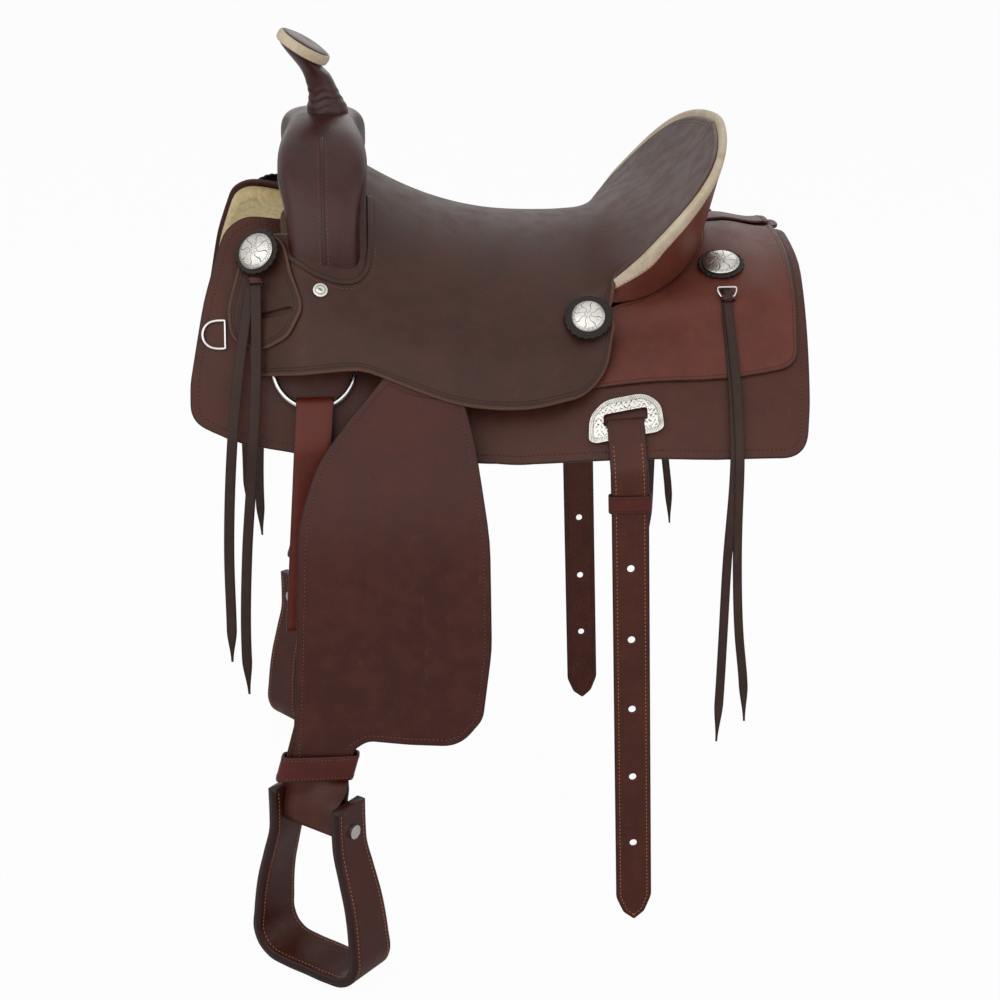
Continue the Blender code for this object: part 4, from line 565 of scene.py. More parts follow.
# A sheet over place(x, v, h), h from 0 to thick, with quarter-round edges. A grid of points fills
# the flat pattern and is triangulated, then place carries every point to the surface.
def panelPiece(name, outline, place, thick, look, body, nodes=(), side=1, holes=(), step=0.006,
               rounding=0.0014, jitter=None, engrave=None):
    loops = [turned(densify(outline, step * 0.6), 1)]
    loops += [turned(densify(h, step * 0.4), -1) for h in holes]
    r = min(rounding, thick * 0.49)
    border = r + 0.0007
    inner = [inset(loop, border) for loop in loops]
    low, high = loops[0].min(0), loops[0].max(0)
    gx, gy = np.meshgrid(np.arange(low[0], high[0], step), np.arange(low[1], high[1], step))
    gx = gx + (np.arange(gx.shape[0]) % 2)[:, None] * step * 0.5
    grid = np.stack([gx.ravel(), gy.ravel()], axis=1)
    grid = grid[inMaterial(grid, inner)]
    grid = grid[edgeDistance(grid, inner) > step * 0.45]
    sizes = [len(loop) for loop in loops]
    starts = np.concatenate([[0], np.cumsum(sizes)])
    flat = np.vstack(inner + [grid])
    sidesList = [(int(s + k), int(s + (k + 1) % n)) for s, n in zip(starts, sizes)
                 for k in range(n)]
    corners = [Vector(p) for p in flat]
    points, _, faces, origins, _, _ = delaunay_2d_cdt(corners, sidesList, [], 0, 1e-7)
    points = np.array([tuple(p) for p in points])
    faces = np.array([f for f in faces if len(f) == 3])
    faces = faces[inMaterial(points[faces].mean(1), inner)]
    where = np.zeros(len(flat), dtype=int)
    for k, source in enumerate(origins):
        for m in source:
            where[m] = k
    count = len(points)
    flatPoints = [points, points]
    heights = [np.full(count, thick), np.zeros(count)]
    quads = []
    profile = ((r, 0.0), (r * 0.29, r * 0.29), (0.0, r), (0.0, thick - r),
               (r * 0.29, thick - r * 0.29), (r, thick))
    total = 2 * count
    for loop, start, size in zip(loops, starts, sizes):
        ids = [where[start:start + size] + count]
        for amount, height in profile:
            flatPoints.append(inset(loop, amount))
            heights.append(np.full(size, height))
            ids.append(np.arange(size) + total)
            total += size
        ids.append(where[start:start + size])
        for first, second in zip(ids, ids[1:]):
            quads.append(np.stack([first, np.roll(first, -1), np.roll(second, -1), second], axis=1))
    pattern = np.vstack(flatPoints)
    height = np.concatenate(heights)
    rimDistance = edgeDistance(pattern, loops[:1])
    if jitter:
        height = height + jitter(pattern[:, 0], pattern[:, 1], height, rimDistance)
    cut = None
    if engrave:
        cut = engrave(pattern[:, 0], pattern[:, 1], rimDistance) * (height > thick * 0.9)
        height = height - cut * 0.0003
    solid = place(pattern[:, 0], pattern[:, 1], height)
    solid[:, 1] *= side
    return meshObject(name, solid, np.vstack([faces, faces[:, ::-1] + count]), np.vstack(quads),
                      look, body, nodes, edge=rimDistance, cut=cut)


# Index quads of a rows by columns grid of points, its columns joined round.
def gridQuads(rows, columns):
    i = np.arange(rows - 1)[:, None]
    j = np.arange(columns)[None, :]
    n = (j + 1) % columns
    row, after = i * columns, (i + 1) * columns
    return np.stack([row + j, row + n, after + n, after + j], axis=-1).reshape(-1, 4)


# A skin over an array of rings (stations, points, 3); open runs get fan caps.
def tubePiece(name, rings, look, body, nodes=(), closed=False, edge=None, cut=None):
    stations, around, _ = rings.shape
    quads = gridQuads(stations, around)
    points = rings.reshape(-1, 3)
    triangles = np.zeros((0, 3), dtype=int)
    j = np.arange(around)
    n = (j + 1) % around
    last = (stations - 1) * around
    if closed:
        quads = np.vstack([quads, np.stack([last + j, last + n, n, j], axis=1)])
    else:
        points = np.vstack([points, rings[0].mean(0), rings[-1].mean(0)])
        tip = stations * around
        triangles = np.vstack([np.stack([np.full(around, tip), n, j], axis=1),
                               np.stack([np.full(around, tip + 1), last + j, last + n], axis=1)])
        if edge is not None:
            edge = np.concatenate([edge.ravel(), [0.0, 0.0]])
        if cut is not None:
            cut = np.concatenate([cut.ravel(), [0.0, 0.0]])
    edge, cut = (None if values is None else np.ravel(values) for values in (edge, cut))
    return meshObject(name, points, triangles, quads, look, body, nodes, edge=edge, cut=cut)


# Running sum of the distances from point to point.
def lengthAlong(points):
    return np.concatenate([[0.0], np.cumsum(np.linalg.norm(np.diff(points, axis=0), axis=1))])


# Cubic Hermite curve through rows of numbers, its slopes taken per metre of the chord line.
def curveThrough(points, per=8, closed=False):
    p = np.asarray(points, dtype=float)
    if closed:
        p = np.vstack([p[-2:], p, p[:3]])
    s = lengthAlong(p[:, :3])
    slope = np.gradient(p, s, axis=0)
    t = (np.arange(per) / per)[None, :, None]
    a, b, da, db = p[:-1, None], p[1:, None], slope[:-1, None], slope[1:, None]
    reach = np.diff(s)[:, None, None]
    found = (a * (2 * t ** 3 - 3 * t ** 2 + 1) + da * reach * (t ** 3 - 2 * t ** 2 + t)
             + b * (3 * t ** 2 - 2 * t ** 3) + db * reach * (t ** 3 - t ** 2))
    if closed:
        return found[2:-2].reshape(-1, p.shape[1])
    return np.vstack([found.reshape(-1, p.shape[1]), p[-1]])


# Rows of values at the given stations, column by column.
def interpolate(at, stations, values):
    return np.stack([np.interp(at, stations, values[:, k]) for k in range(values.shape[1])],
                    axis=-1)


# Surface of a strap: P = spine(s) + across(s) * u + normal(s) * h, with u and h in metres.
def strapSurface(spine, across, flip=1.0, per=8, closed=False):
    both = curveThrough(np.hstack([spine, across]), per, closed)
    line, wide = both[:, :3], both[:, 3:]
    if closed:
        line, wide = np.vstack([line, line[:1]]), np.vstack([wide, wide[:1]])
    stations = lengthAlong(line)
    run = unit(np.gradient(line, axis=0))
    if closed:
        run[0] = run[-1] = unit(line[1] - line[-2])
    sideways = unit(wide)
    normal = unit(np.cross(sideways, run)) * flip
    half = np.linalg.norm(wide, axis=1)

    def place(u, s, h):
        return (interpolate(s, stations, line) + interpolate(s, stations, sideways) * u[..., None]
                + unit(interpolate(s, stations, normal)) * np.asarray(h)[..., None])
    return place, stations, half


# Rounded-edge section of a strap as (share of the half width, extra u, h).
def strapSection(thick, flats=5, r=0.0011):
    r = min(r, thick * 0.49)
    up = thick / 2 - r
    found = []
    for sign in (1, -1):
        for k in range(5):
            a = math.radians(-90 + 45 * k) * sign
            found.append((sign, r * math.cos(a) * sign,
                          up * np.sign(np.sin(a)) * (abs(math.sin(a)) > 0.1) + r * math.sin(a)))
        shares = np.linspace(1, -1, flats + 2)[1:-1] * sign
        found += [(share, 0.0, (up + r) * sign) for share in shares]
    section = np.array(found)
    return section[:, 0], section[:, 1], section[:, 2], r


# A strap with burnished, rounded edges, swept along its surface.
def strapPiece(name, surface, thick, look, body, nodes=(), side=1, closed=False, spacing=0.004,
               taper=None):
    place, stations, half = surface
    count = max(12, int(stations[-1] / spacing))
    s = np.linspace(0, stations[-1], count, endpoint=not closed)
    share, extra, h, r = strapSection(thick)
    width = np.interp(s, stations, half)
    if taper:
        width = width * taper(s / stations[-1])
    u = (width - r)[:, None] * share[None, :] + extra[None, :]
    ss = np.repeat(s[:, None], len(share), axis=1)
    rings = place(u.ravel(), ss.ravel(), np.tile(h, count)).reshape(count, -1, 3)
    rings[..., 1] *= side
    return tubePiece(name, rings, look, body, nodes, closed, edge=width[:, None] - np.abs(u))


thread = {'pitch': 0.0046, 'length': 0.0031, 'radius': 0.00048, 'slant': 9.0, 'sunk': 0.15}


# Thread stitches along a path in the surface's own coordinates, each a small spindle.
def stitchRow(name, place, path, height, look, body, side=1, pitch=thread['pitch'],
              length=thread['length'], slant=thread['slant'], closed=False):
    path = np.asarray(path, dtype=float)
    if closed:
        path = np.vstack([path, path[:1]])
    path = densify(path, 0.0016, closed=False)
    h = np.full(len(path), height)
    line = place(path[:, 0], path[:, 1], h)
    above = place(path[:, 0], path[:, 1], h + 0.001)
    stations = lengthAlong(line)
    count = max(2, int(stations[-1] / pitch))
    s = (np.arange(count) + 0.5) * stations[-1] / count
    centre = interpolate(s, stations, line)
    run = unit(interpolate(s + length / 2, stations, line)
               - interpolate(s - length / 2, stations, line))
    normal = unit(interpolate(s, stations, above - line))
    lateral = np.cross(normal, run)
    turn = math.radians(slant)
    slanted = run * math.cos(turn) + lateral * math.sin(turn)
    lateral = lateral * math.cos(turn) - run * math.sin(turn)
    run = slanted
    normal = np.cross(run, lateral)
    template = [(-0.5, 0.0, 0.0)]
    for along, size in ((-0.36, 0.75), (0.0, 1.0), (0.36, 0.75)):
        template += [(along, size * math.cos(a), size * math.sin(a))
                     for a in np.arange(6) * math.pi / 3]
    template.append((0.5, 0.0, 0.0))
    spindle = np.array(template)
    grown = (centre[:, None] + run[:, None] * spindle[None, :, :1] * length
             + lateral[:, None] * spindle[None, :, 1:2] * thread['radius']
             + normal[:, None] * (spindle[None, :, 2:] + thread['sunk']) * thread['radius'])
    ring = np.arange(6)
    after = (ring + 1) % 6
    belt = np.stack([ring, after, after + 6, ring + 6], axis=1) + 1
    quads = np.vstack([belt, belt + 6])
    caps = np.vstack([np.stack([np.zeros(6, int), 1 + after, 1 + ring], axis=1),
                      np.stack([np.full(6, 19), 13 + ring, 13 + after], axis=1)])
    shift = (np.arange(count) * 20)[:, None, None]
    points = grown.reshape(-1, 3)
    points[:, 1] *= side
    return meshObject(name, points, (caps[None] + shift).reshape(-1, 3),
                      (quads[None] + shift).reshape(-1, 4), look, body)


# The stretch of a closed outline from the point nearest first to the one nearest last.
def part(ring, first, last):
    a = np.argmin(np.linalg.norm(ring - np.array(first), axis=1))
    b = np.argmin(np.linalg.norm(ring - np.array(last), axis=1))
    rolled = np.roll(ring, -a, axis=0)
    return rolled[:(b - a) % len(ring) + 1]


# The saddle's underside and seat, as functions of x and the way v down the side
shape = {
    'clearance': 0.0004, 'fleece': 0.0160, 'skirt': 0.0046, 'seat': 0.0046, 'jockey': 0.0036,
    'strap': 0.0032, 'fender': 0.0036, 'fenderPlane': 0.16505, 'fenderLean': 63.0,
    'ridgeRound': 0.020, 'plateX': 0.116, 'plateV': 0.264,
}
skirtTop = shape['fleece'] + shape['clearance'] + shape['skirt']
gap = shape['clearance']
leatherStack = 2 * shape['strap'] + gap
fenderStack = leatherStack + shape['fender'] + 3 * gap


# Start angle, turn per metre and height of the underside at x.
def ridge(x):
    t = smooth(-0.36, 0.17, x)
    height = 0.130 * (1 - smooth(-0.34, 0.02, x)) + 0.022 * smooth(0.0, 0.33, x)
    return np.radians(mix(36.0, 2.0, t)), np.radians(mix(125.0, 190.0, t)), height


# Half width, height and slope: the slope grows as start * (1 - exp(-v / 20 mm)) + gain * v.
def sectionAt(x, v, steps=24):
    start, gain, z = ridge(x)
    y = np.zeros_like(x + v)
    z = z + y
    step = v / steps
    for k in range(steps):
        mid = (k + 0.5) * step
        slope = start * (1 - np.exp(-mid / shape['ridgeRound'])) + gain * mid
        y = y + np.cos(slope) * step
        z = z - np.sin(slope) * step
    return y, z, start * (1 - np.exp(-v / shape['ridgeRound'])) + gain * v


# A point h metres over the underside; minus v is the near side.
def back(x, v, h):
    a = np.abs(v)
    y, z, slope = sectionAt(x, a)
    return np.stack([x + 0 * y, (y + h * np.sin(slope)) * np.sign(v + 1e-12),
                     z + h * np.cos(slope)], axis=-1)


# Upper face of the tree bar over the underside: its thickness less the stirrup leather's groove.
def barTop(x):
    thick = mix(0.0246, 0.0096, smooth(0.05, 0.15, x))
    thick = mix(thick, 0.0006, smooth(0.25, 0.30, x))
    thick = mix(0.0060, thick, smooth(-0.245, -0.200, x))
    groove = smooth(-0.20, -0.15, x) * (1 - smooth(0.0, 0.05, x))
    return skirtTop + gap + thick - 0.0040 * groove


# The jockey lies on the bar near the middle and on the skirt farther down.
def jockeyBottom(x, v):
    over = 1 - smooth(0.140, 0.175, np.abs(v))
    return mix(skirtTop, barTop(x), over) + gap


# Height at which the fender's plane, 63 degrees steep, stands over the underside.
def planeHeight(x, v):
    y, z, slope = sectionAt(x, v)
    lean = math.radians(shape['fenderLean'])
    return (shape['fenderPlane'] - y * math.sin(lean) - z * math.cos(lean)) / np.cos(slope - lean)


rim = {'footX': 0.098, 'footZ': 0.0075, 'footHalf': 0.150, 'topX': 0.2486, 'topZ': 0.1666,
       'half': 0.177, 'setback': 0.0085, 'dishV': 0.140, 'seamX': 0.226, 'seamHalf': 0.142,
       'bandDepth': 0.018, 'bandThick': 0.009, 'bandRise': 0.004, 'proud': 0.0015,
       'leather': 0.0036}


seatCurve = {'lowX': 0.050, 'lowZ': 0.062, 'reach': 0.197, 'rise': 0.056, 'frontPower': 2.2,
             'rearPower': 2.5}


# Seat's height on its centre line: one power of the way ahead of its low point, one behind it.
def seatLine(x):
    lowX, lowZ = seatCurve['lowX'], seatCurve['lowZ']
    ahead = np.clip((lowX - x) / seatCurve['reach'], 0.0, None)
    behind = np.clip((x - lowX) / (rim['topX'] - rim['setback'] - lowX), 0.0, None)
    front = lowZ + seatCurve['rise'] * ahead ** seatCurve['frontPower']
    rear = lowZ + (rim['topZ'] - lowZ) * behind ** seatCurve['rearPower']
    return np.where(x < lowX, front, rear)


# Seat's face over the underside: crown on the centre plane, shoulder, then the flap's edge.
def seatHeight(x, v):
    a = np.abs(v)
    shoulder = mix(0.066, 0.0565, smooth(0.0, 0.08, x))
    rest = mix(0.0262, 0.0302, smooth(-0.2, 0.0, x))
    shoulder = mix(rest, shoulder, smooth(-0.275, -0.215, x))
    front = np.maximum(x, -0.147)
    crown = mix(seatLine(front) - ridge(front)[2], shoulder, smooth(0.0, 0.13, a))
    bulge = smooth(-0.285, -0.215, x) * (1 - smooth(0.045, 0.105, x))
    lifted = planeHeight(x, np.maximum(a, 0.197)) + fenderStack + shape['seat']
    edge = mix(rest, lifted, bulge)
    drop = mix(smooth(0.14, 0.24, a), smooth(0.13, 0.195, a), bulge)
    return mix(crown, edge, drop)


# Cantle rim on the off side, t from its foot to its top.
def rimAt(t):
    half = rim['half'] * np.maximum(1 - t ** 6.3, 0.0) ** 0.625
    half = half - (rim['half'] - rim['footHalf']) * (1 - smooth(0.0, 0.38, t))
    return np.stack([mix(rim['footX'], rim['topX'], t), half, mix(rim['footZ'], rim['topZ'], t)],
                    axis=-1)


# The rim less its setback, where the seat's dish ends.
def dishRim(t):
    outer = rimAt(t)
    return np.stack([outer[..., 0] - rim['setback'],
                     np.maximum(outer[..., 1] - rim['setback'], 0.0), outer[..., 2] - 0.001],
                    axis=-1)


# The seat, blended at x = 60 to 120 mm into a dish: height = line + (rim - line) * share^2.
def seatOuter(x, v):
    slopePoint = back(x, v, seatHeight(x, v))
    below = smooth(0.140, 0.155, np.abs(v)) * (1 - smooth(0.109, 0.114, x))
    t = (x + rim['setback'] - rim['footX']) / (rim['topX'] - rim['footX'])
    edge = dishRim(np.clip(t, 0.0, 1.0))
    y = v * rim['footHalf'] / rim['dishV']
    share = np.minimum(np.abs(y) / np.maximum(edge[..., 1], 0.02), 1.0)
    dish = np.stack([x, y, mix(seatLine(x), edge[..., 2], share * share)], axis=-1)
    blend = smooth(0.06, 0.12, x) * (1 - below)
    return slopePoint + (dish - slopePoint) * blend[..., None]


# A point h metres over the seat leather's face; minus is under it.
def seatPlace(x, v, h):
    step = 0.002
    along = seatOuter(x + step, v) - seatOuter(x - step, v)
    across = seatOuter(x, v + step) - seatOuter(x, v - step)
    return seatOuter(x, v) + unit(np.cross(along, across)) * np.asarray(h)[..., None]


print('saddle: surfaces ready')

# Skirts, fleece and rear jockeys
skirtParts = {'fleeceInset': 0.004, 'stitchInset': 0.0085, 'jockeyStitch': 0.0062,
              'woolHeight': 0.0022}


# Corners (x, v, radius) of the skirt, moved d inwards.
def skirtCorners(d=0.0):
    return [(-0.246 + d, 0.082 + d, 0.02), (-0.285, 0.090 + d, 0.06),
            (-0.306 + d * 0.7, 0.112, 0.05), (-0.328 + d, 0.190, 0.30), (-0.344 + d, 0.275, 0.08),
            (-0.345 + d, 0.314 - d * 0.5, 0.055), (-0.300, 0.334 - d, 0.12),
            (-0.225, 0.331 - d, 0.30), (-0.100, 0.291 - d, 0.60), (-0.020, 0.285 - d, 0.50),
            (0.120, 0.307 - d, 0.60), (0.210, 0.319 - d, 0.60), (0.306 - d, 0.325 - d, 0.036),
            (0.313 - d, 0.270, 0.30), (0.326 - d, 0.090, 0.30), (0.322 - d, 0.004 + d, 0.02),
            (0.10, 0.004 + d, 0.0), (-0.10, 0.010 + d, 0.10), (-0.19, 0.050 + d, 0.06)]


# Curly locks: products of sines in x and v, calmer at the edge and nil on the leather side.
def wool(x, v, h, rimDistance):
    curl = np.sin(x * 610 + 2.1 * np.sin(v * 240)) * np.sin(v * 570 + 1.7 * np.sin(x * 210))
    curl += 0.6 * np.sin(x * 1130 + v * 830) * np.sin(v * 1010 - x * 640)
    low = 1 - smooth(0.0, 0.012, h)
    return curl * skirtParts['woolHeight'] * 0.5 * low * smooth(0.0, 0.006, rimDistance)


# Over the fleece.
def skirtPlace(x, v, h):
    return back(x, v, h + shape['fleece'] + gap)


# Over skirt and bar.
def jockeyPlace(x, v, h):
    return back(x, v, h + jockeyBottom(x, v))


# Foot of the cantle: half width * sin and depth * |cos|^0.77, drawn in by drawn.
def seamAt(angle, drawn):
    x = mix(rim['footX'] + 0.002, rim['seamX'] - drawn, np.abs(np.cos(angle)) ** 0.77)
    return x, (rim['seamHalf'] - drawn) * np.sin(angle)


# Fleece, skirt and rear jockey are panels over the back; stitches follow their inset outlines.
def buildSkirts(side, word):
    panelPiece('woolLining_' + word, roundCorners(skirtCorners(skirtParts['fleeceInset'])), back,
               shape['fleece'], fleeceLook(), 'saddle', ('fleece_' + word,), side, step=0.0042,
               rounding=0.0055, jitter=wool)
    ring = roundCorners(skirtCorners())
    panelPiece('skirtLeather_' + word, ring, skirtPlace, shape['skirt'], leatherLook('skirt'),
               'saddle', ('skirt_' + word,), side)
    sewn = inset(turned(densify(ring, 0.004), 1), skirtParts['stitchInset'])
    stitchRow('skirtStitches_' + word, skirtPlace, sewn, shape['skirt'], darkThread(), 'saddle',
              side, closed=True)
    outer = roundCorners([(0.062, 0.165, 0.01), (0.066, 0.226, 0.02), (0.150, 0.232, 0.30),
                          (0.235, 0.240, 0.30), (0.303, 0.231, 0.026), (0.311, 0.150, 0.20),
                          (0.314, 0.070, 0.20), (0.310, 0.004, 0.006)])
    seam = np.stack(seamAt(np.radians(np.linspace(2, 84, 40)), 0.0005), axis=1)
    jockeyRing = np.vstack([outer, seam])
    panelPiece('rearJockey_' + word + '_leather', jockeyRing, jockeyPlace, shape['jockey'],
               leatherLook('jockey'), 'saddle', ('rear_jockey_' + word,), side)
    border = part(inset(turned(densify(jockeyRing, 0.004), 1), skirtParts['jockeyStitch']),
                  (0.308, 0.010), (0.068, 0.215))
    stitchRow('jockeyStitches_' + word, jockeyPlace, border, shape['jockey'], darkThread(),
              'saddle', side)


# Seat, holder and swell
seatParts = {'holderLift': 0.0008, 'holderLeather': 0.0030, 'coverLeather': 0.0035,
             'seamProud': 0.0016}


# The seat's panel hangs under its face.
def seatLeather(x, v, h):
    return seatPlace(x, v, h - shape['seat'])


# The holder's panel lies on the seat's face.
def holderLeather(x, v, h):
    return seatPlace(x, v, h + seatParts['holderLift'])


# Half outline in (x, v), then its mirror image.
def seatOutline():
    half = [(-0.160, 0.030), (-0.163, 0.075), (-0.172, 0.105), (-0.190, 0.118), (-0.205, 0.120),
            (-0.222, 0.118), (-0.240, 0.113)]
    lower = roundCorners([(-0.250, 0.112, 0.0), (-0.272, 0.112, 0.020), (-0.281, 0.190, 0.10),
                          (-0.279, 0.262, 0.012), (-0.225, 0.252, 0.12), (-0.160, 0.229, 0.10),
                          (-0.125, 0.233, 0.10), (-0.060, 0.241, 0.30), (0.030, 0.244, 0.20),
                          (0.074, 0.240, 0.05), (0.100, 0.215, 0.05), (0.109, 0.175, 0.03),
                          (0.106, 0.158, 0.0)])
    edge = dishRim(1 - (1 - np.linspace(0.10, 1.0, 60)) ** 1.6)[:-1]
    top = np.stack([edge[:, 0], edge[:, 1] * rim['dishV'] / rim['footHalf']], axis=1)
    ring = np.vstack([half, lower, top])
    return np.vstack([ring, ring[::-1] * (1, -1)])


swell = {'x': -0.198, 'half': 0.138, 'foot': 0.035, 'rise': 0.125, 'round': 0.87, 'square': 0.62,
         'depth': (0.033, 0.044, 0.034), 'thick': 0.0205}


# |value| to the power, with the value's sign.
def signedPower(value, power):
    return np.sign(value) * np.abs(value) ** power


# Superellipse sections along the fork's arch: |cos|^0.62 * depth by |sin|^0.62 * thick.
def archRings(extra, count=96, around=72):
    angle = np.radians(np.linspace(-90, 90, count))
    sideways = swell['half'] * signedPower(np.sin(angle), swell['round'])
    height = swell['foot'] + swell['rise'] * np.abs(np.cos(angle)) ** swell['round']
    path = np.stack([np.full(count, swell['x']), sideways, height], axis=1)
    run = unit(np.gradient(path, axis=0))
    run[0], run[-1] = (0, 0, 1), (0, 0, -1)
    outward = np.stack([0 * angle, -run[:, 2], run[:, 1]], axis=1)
    share = np.abs(path[:, 1]) / swell['half']
    top, shoulder, foot = swell['depth']
    depth = (mix(mix(top, shoulder, smooth(0.0, 0.62, share)), foot, smooth(0.70, 1.0, share))
             + extra)
    phi = np.linspace(0, 2 * np.pi, around, endpoint=False)
    across = signedPower(np.cos(phi), swell['square'])[None] * depth[:, None]
    radial = signedPower(np.sin(phi), swell['square'])[None] * (swell['thick'] + extra)
    return (path[:, None] + across[..., None] * np.array([1.0, 0, 0])
            + radial[..., None] * outward[:, None])


# Seat panel, swell cover, and the welt with stitches down the middle of the swell.
def buildSeat():
    panelPiece('seatLeather', seatOutline(), seatLeather, shape['seat'], leatherLook('flap'),
               'saddle', ('seat',))
    rings = archRings(seatParts['coverLeather'] + 2 * gap)
    count, around, _ = rings.shape
    tubePiece('swellLeather', rings, leatherLook('swell'), 'saddle', ('swell_cover',),
              edge=np.full((count, around), 0.05))
    crest = rings[:, around // 4]
    outer = archRings(seatParts['coverLeather'] + 2 * gap + seatParts['seamProud'])[:, around // 4]
    for side, word, _ in sides:
        keep = slice(2, 34)
        line = crest[keep] if side < 0 else crest[::-1][keep]
        lift = outer[keep] if side < 0 else outer[::-1][keep]
        rise = unit(lift - line)
        wide = np.tile([0.0016, 0.0, 0.0], (len(line), 1))
        place, stations, half = strapSurface(line + rise * 0.0002, wide, 1.0, per=2)
        strapPiece('swellWelt_' + word, (place, stations, half), 0.0022, leatherLook('swell'),
                   'saddle', spacing=0.003)
        over, _, _ = strapSurface(line + rise * 0.0001, wide, side * 1.0, per=2)
        for offset in (-0.0042, 0.0042):
            path = np.stack([np.full(60, offset), np.linspace(0.004, stations[-1] - 0.006, 60)],
                            axis=1)
            stitchRow('swellStitches_%s_%d' % (word, offset > 0), over, path, 0.0, darkThread(),
                      'saddle', pitch=0.0044)


# A panel with a slanted slot on the seat's face.
def buildHolder(side, word):
    outline = roundCorners([(-0.272, 0.108, 0.02), (-0.240, 0.118, 0.03), (-0.232, 0.155, 0.06),
                            (-0.220, 0.188, 0.025), (-0.236, 0.218, 0.03), (-0.262, 0.234, 0.03),
                            (-0.299, 0.232, 0.02), (-0.303, 0.200, 0.05), (-0.290, 0.150, 0.05)])
    slot = roundCorners([(-0.266, 0.198, 0.0025), (-0.232, 0.189, 0.0025), (-0.231, 0.194, 0.0025),
                         (-0.265, 0.203, 0.0025)], steps=4)
    panelPiece('holderLeather_' + word, outline, holderLeather, seatParts['holderLeather'],
               leatherLook('flap'), 'saddle', ('latigo_holder_' + word,), side, holes=[slot],
               step=0.0045)


# Horn
horn = {'x': -0.216, 'z': 0.2545, 'radius': 0.0252, 'wrap': 0.0030, 'thick': 0.0060, 'tilt': 31.0,
        'bandWidth': 0.0115, 'bandThick': 0.0030, 'wraps': 9, 'foldZ': 0.200, 'foldReach': 0.012,
        'foldDepth': 0.00045}


# Neck sections from front and rear points, then discs square to the tilted cap, joined smoothly.
def buildHorn():
    lean = math.radians(horn['tilt'])
    normal = np.array([math.sin(lean), 0.0, math.cos(lean)])
    inPlane = np.array([normal[2], 0.0, -normal[0]])
    centre = np.array([horn['x'], 0.0, horn['z']])
    radius = horn['radius'] + horn['wrap']
    half = horn['thick'] / 2 + horn['wrap']
    neck = ((-0.2146, 0.1740, -0.1680, 0.1740, 0.0212), (-0.2138, 0.1890, -0.1700, 0.1890, 0.0200),
            (-0.2118, 0.2010, -0.1760, 0.2000, 0.0175), (-0.2140, 0.2150, -0.1812, 0.2110, 0.0165),
            (-0.2200, 0.2310, -0.1870, 0.2230, 0.0180))
    a = np.linspace(0, 2 * np.pi, 72, endpoint=False)
    rows = []
    for fx, fz, rx, rz, wide in neck:
        front, rear = np.array([fx, 0, fz]), np.array([rx, 0, rz])
        rows.append(((front + rear) / 2, (rear - front) / 2, wide))
    for level, reach in ((-half, radius - 0.0012), (-half * 0.4, radius), (half * 0.4, radius),
                         (half, radius - 0.002), (half + 0.0018, radius * 0.75),
                         (half + 0.0022, radius * 0.4), (half + 0.0023, radius * 0.02)):
        rows.append((centre + normal * level, inPlane * reach, reach))
    rings = np.array([m + al * np.cos(a)[:, None] + np.array([0, w, 0]) * np.sin(a)[:, None]
                      for m, al, w in rows])
    fine = curveThrough(rings.reshape(len(rings), -1), 10)
    fine = fine.reshape(len(fine), 72, 3)
    height = fine[:, :, 2].mean(1)
    fold = np.exp(-((height - horn['foldZ']) / horn['foldReach']) ** 2)[:, None]
    ripple = (horn['foldDepth'] * np.sin(fine[..., 2] * 760 + 1.9 * np.sin(a * 2 + 0.7)[None]
                                         + 0.8 * np.sin(a * 5)[None]) * fold)
    middle = fine.mean(1, keepdims=True)
    fine = fine + unit(fine - middle) * ripple[..., None]
    tubePiece('hornLeather', fine, leatherLook('swell'), 'saddle', ('horn_cover',),
              edge=np.full(fine.shape[:2], 0.05))
    b = np.linspace(0, 2 * np.pi, 160, endpoint=False)
    inner = radius + gap
    bulge = [(inner + horn['bandThick'] * math.cos(q) ** 0.6 * 0.98,
              horn['bandWidth'] / 2 * math.sin(q)) for q in np.radians(np.linspace(80, -80, 13))]
    section = np.array([(inner, half * 0.95), *bulge, (inner, -half * 0.95)])
    wraps = 1 + 0.035 * np.abs(np.sin(b * horn['wraps']))
    reach = inner + (section[None, :, 0] - inner) * wraps[:, None]
    outward = inPlane * np.cos(b)[:, None] + np.array([0, 1.0, 0]) * np.sin(b)[:, None]
    band = centre + outward[:, None] * reach[..., None] + normal * section[None, :, 1, None]
    tubePiece('hornRawhide', band, rawhideLook(), 'saddle', ('horn_binding',), closed=True)


# The same line with count points at equal steps.
def resampled(points, count):
    stations = lengthAlong(points)
    return interpolate(np.linspace(0, stations[-1], count), stations, points)


# Top line on the rim and foot line on the jockey, from the near end to the off end.
def cantleLines(count):
    k = np.arange(2401) / 10.0
    top = rimAt(1 - np.abs(1 - k / 120) ** 3)
    top[:, 1] *= np.where(k < 120, -1, 1)
    x, v = seamAt(np.radians(-90 + 180 * k / 240), 0.0)
    foot = back(x, v, jockeyBottom(x, v) + shape['jockey'] + 3 * gap)
    return resampled(top, count), resampled(foot, count)


# 0.45 at both ends, 1 from an eighth of the length on.
def bandTaper(share):
    return mix(0.45, 1.0, smooth(0.0, 0.125, np.minimum(share, 1 - share)))


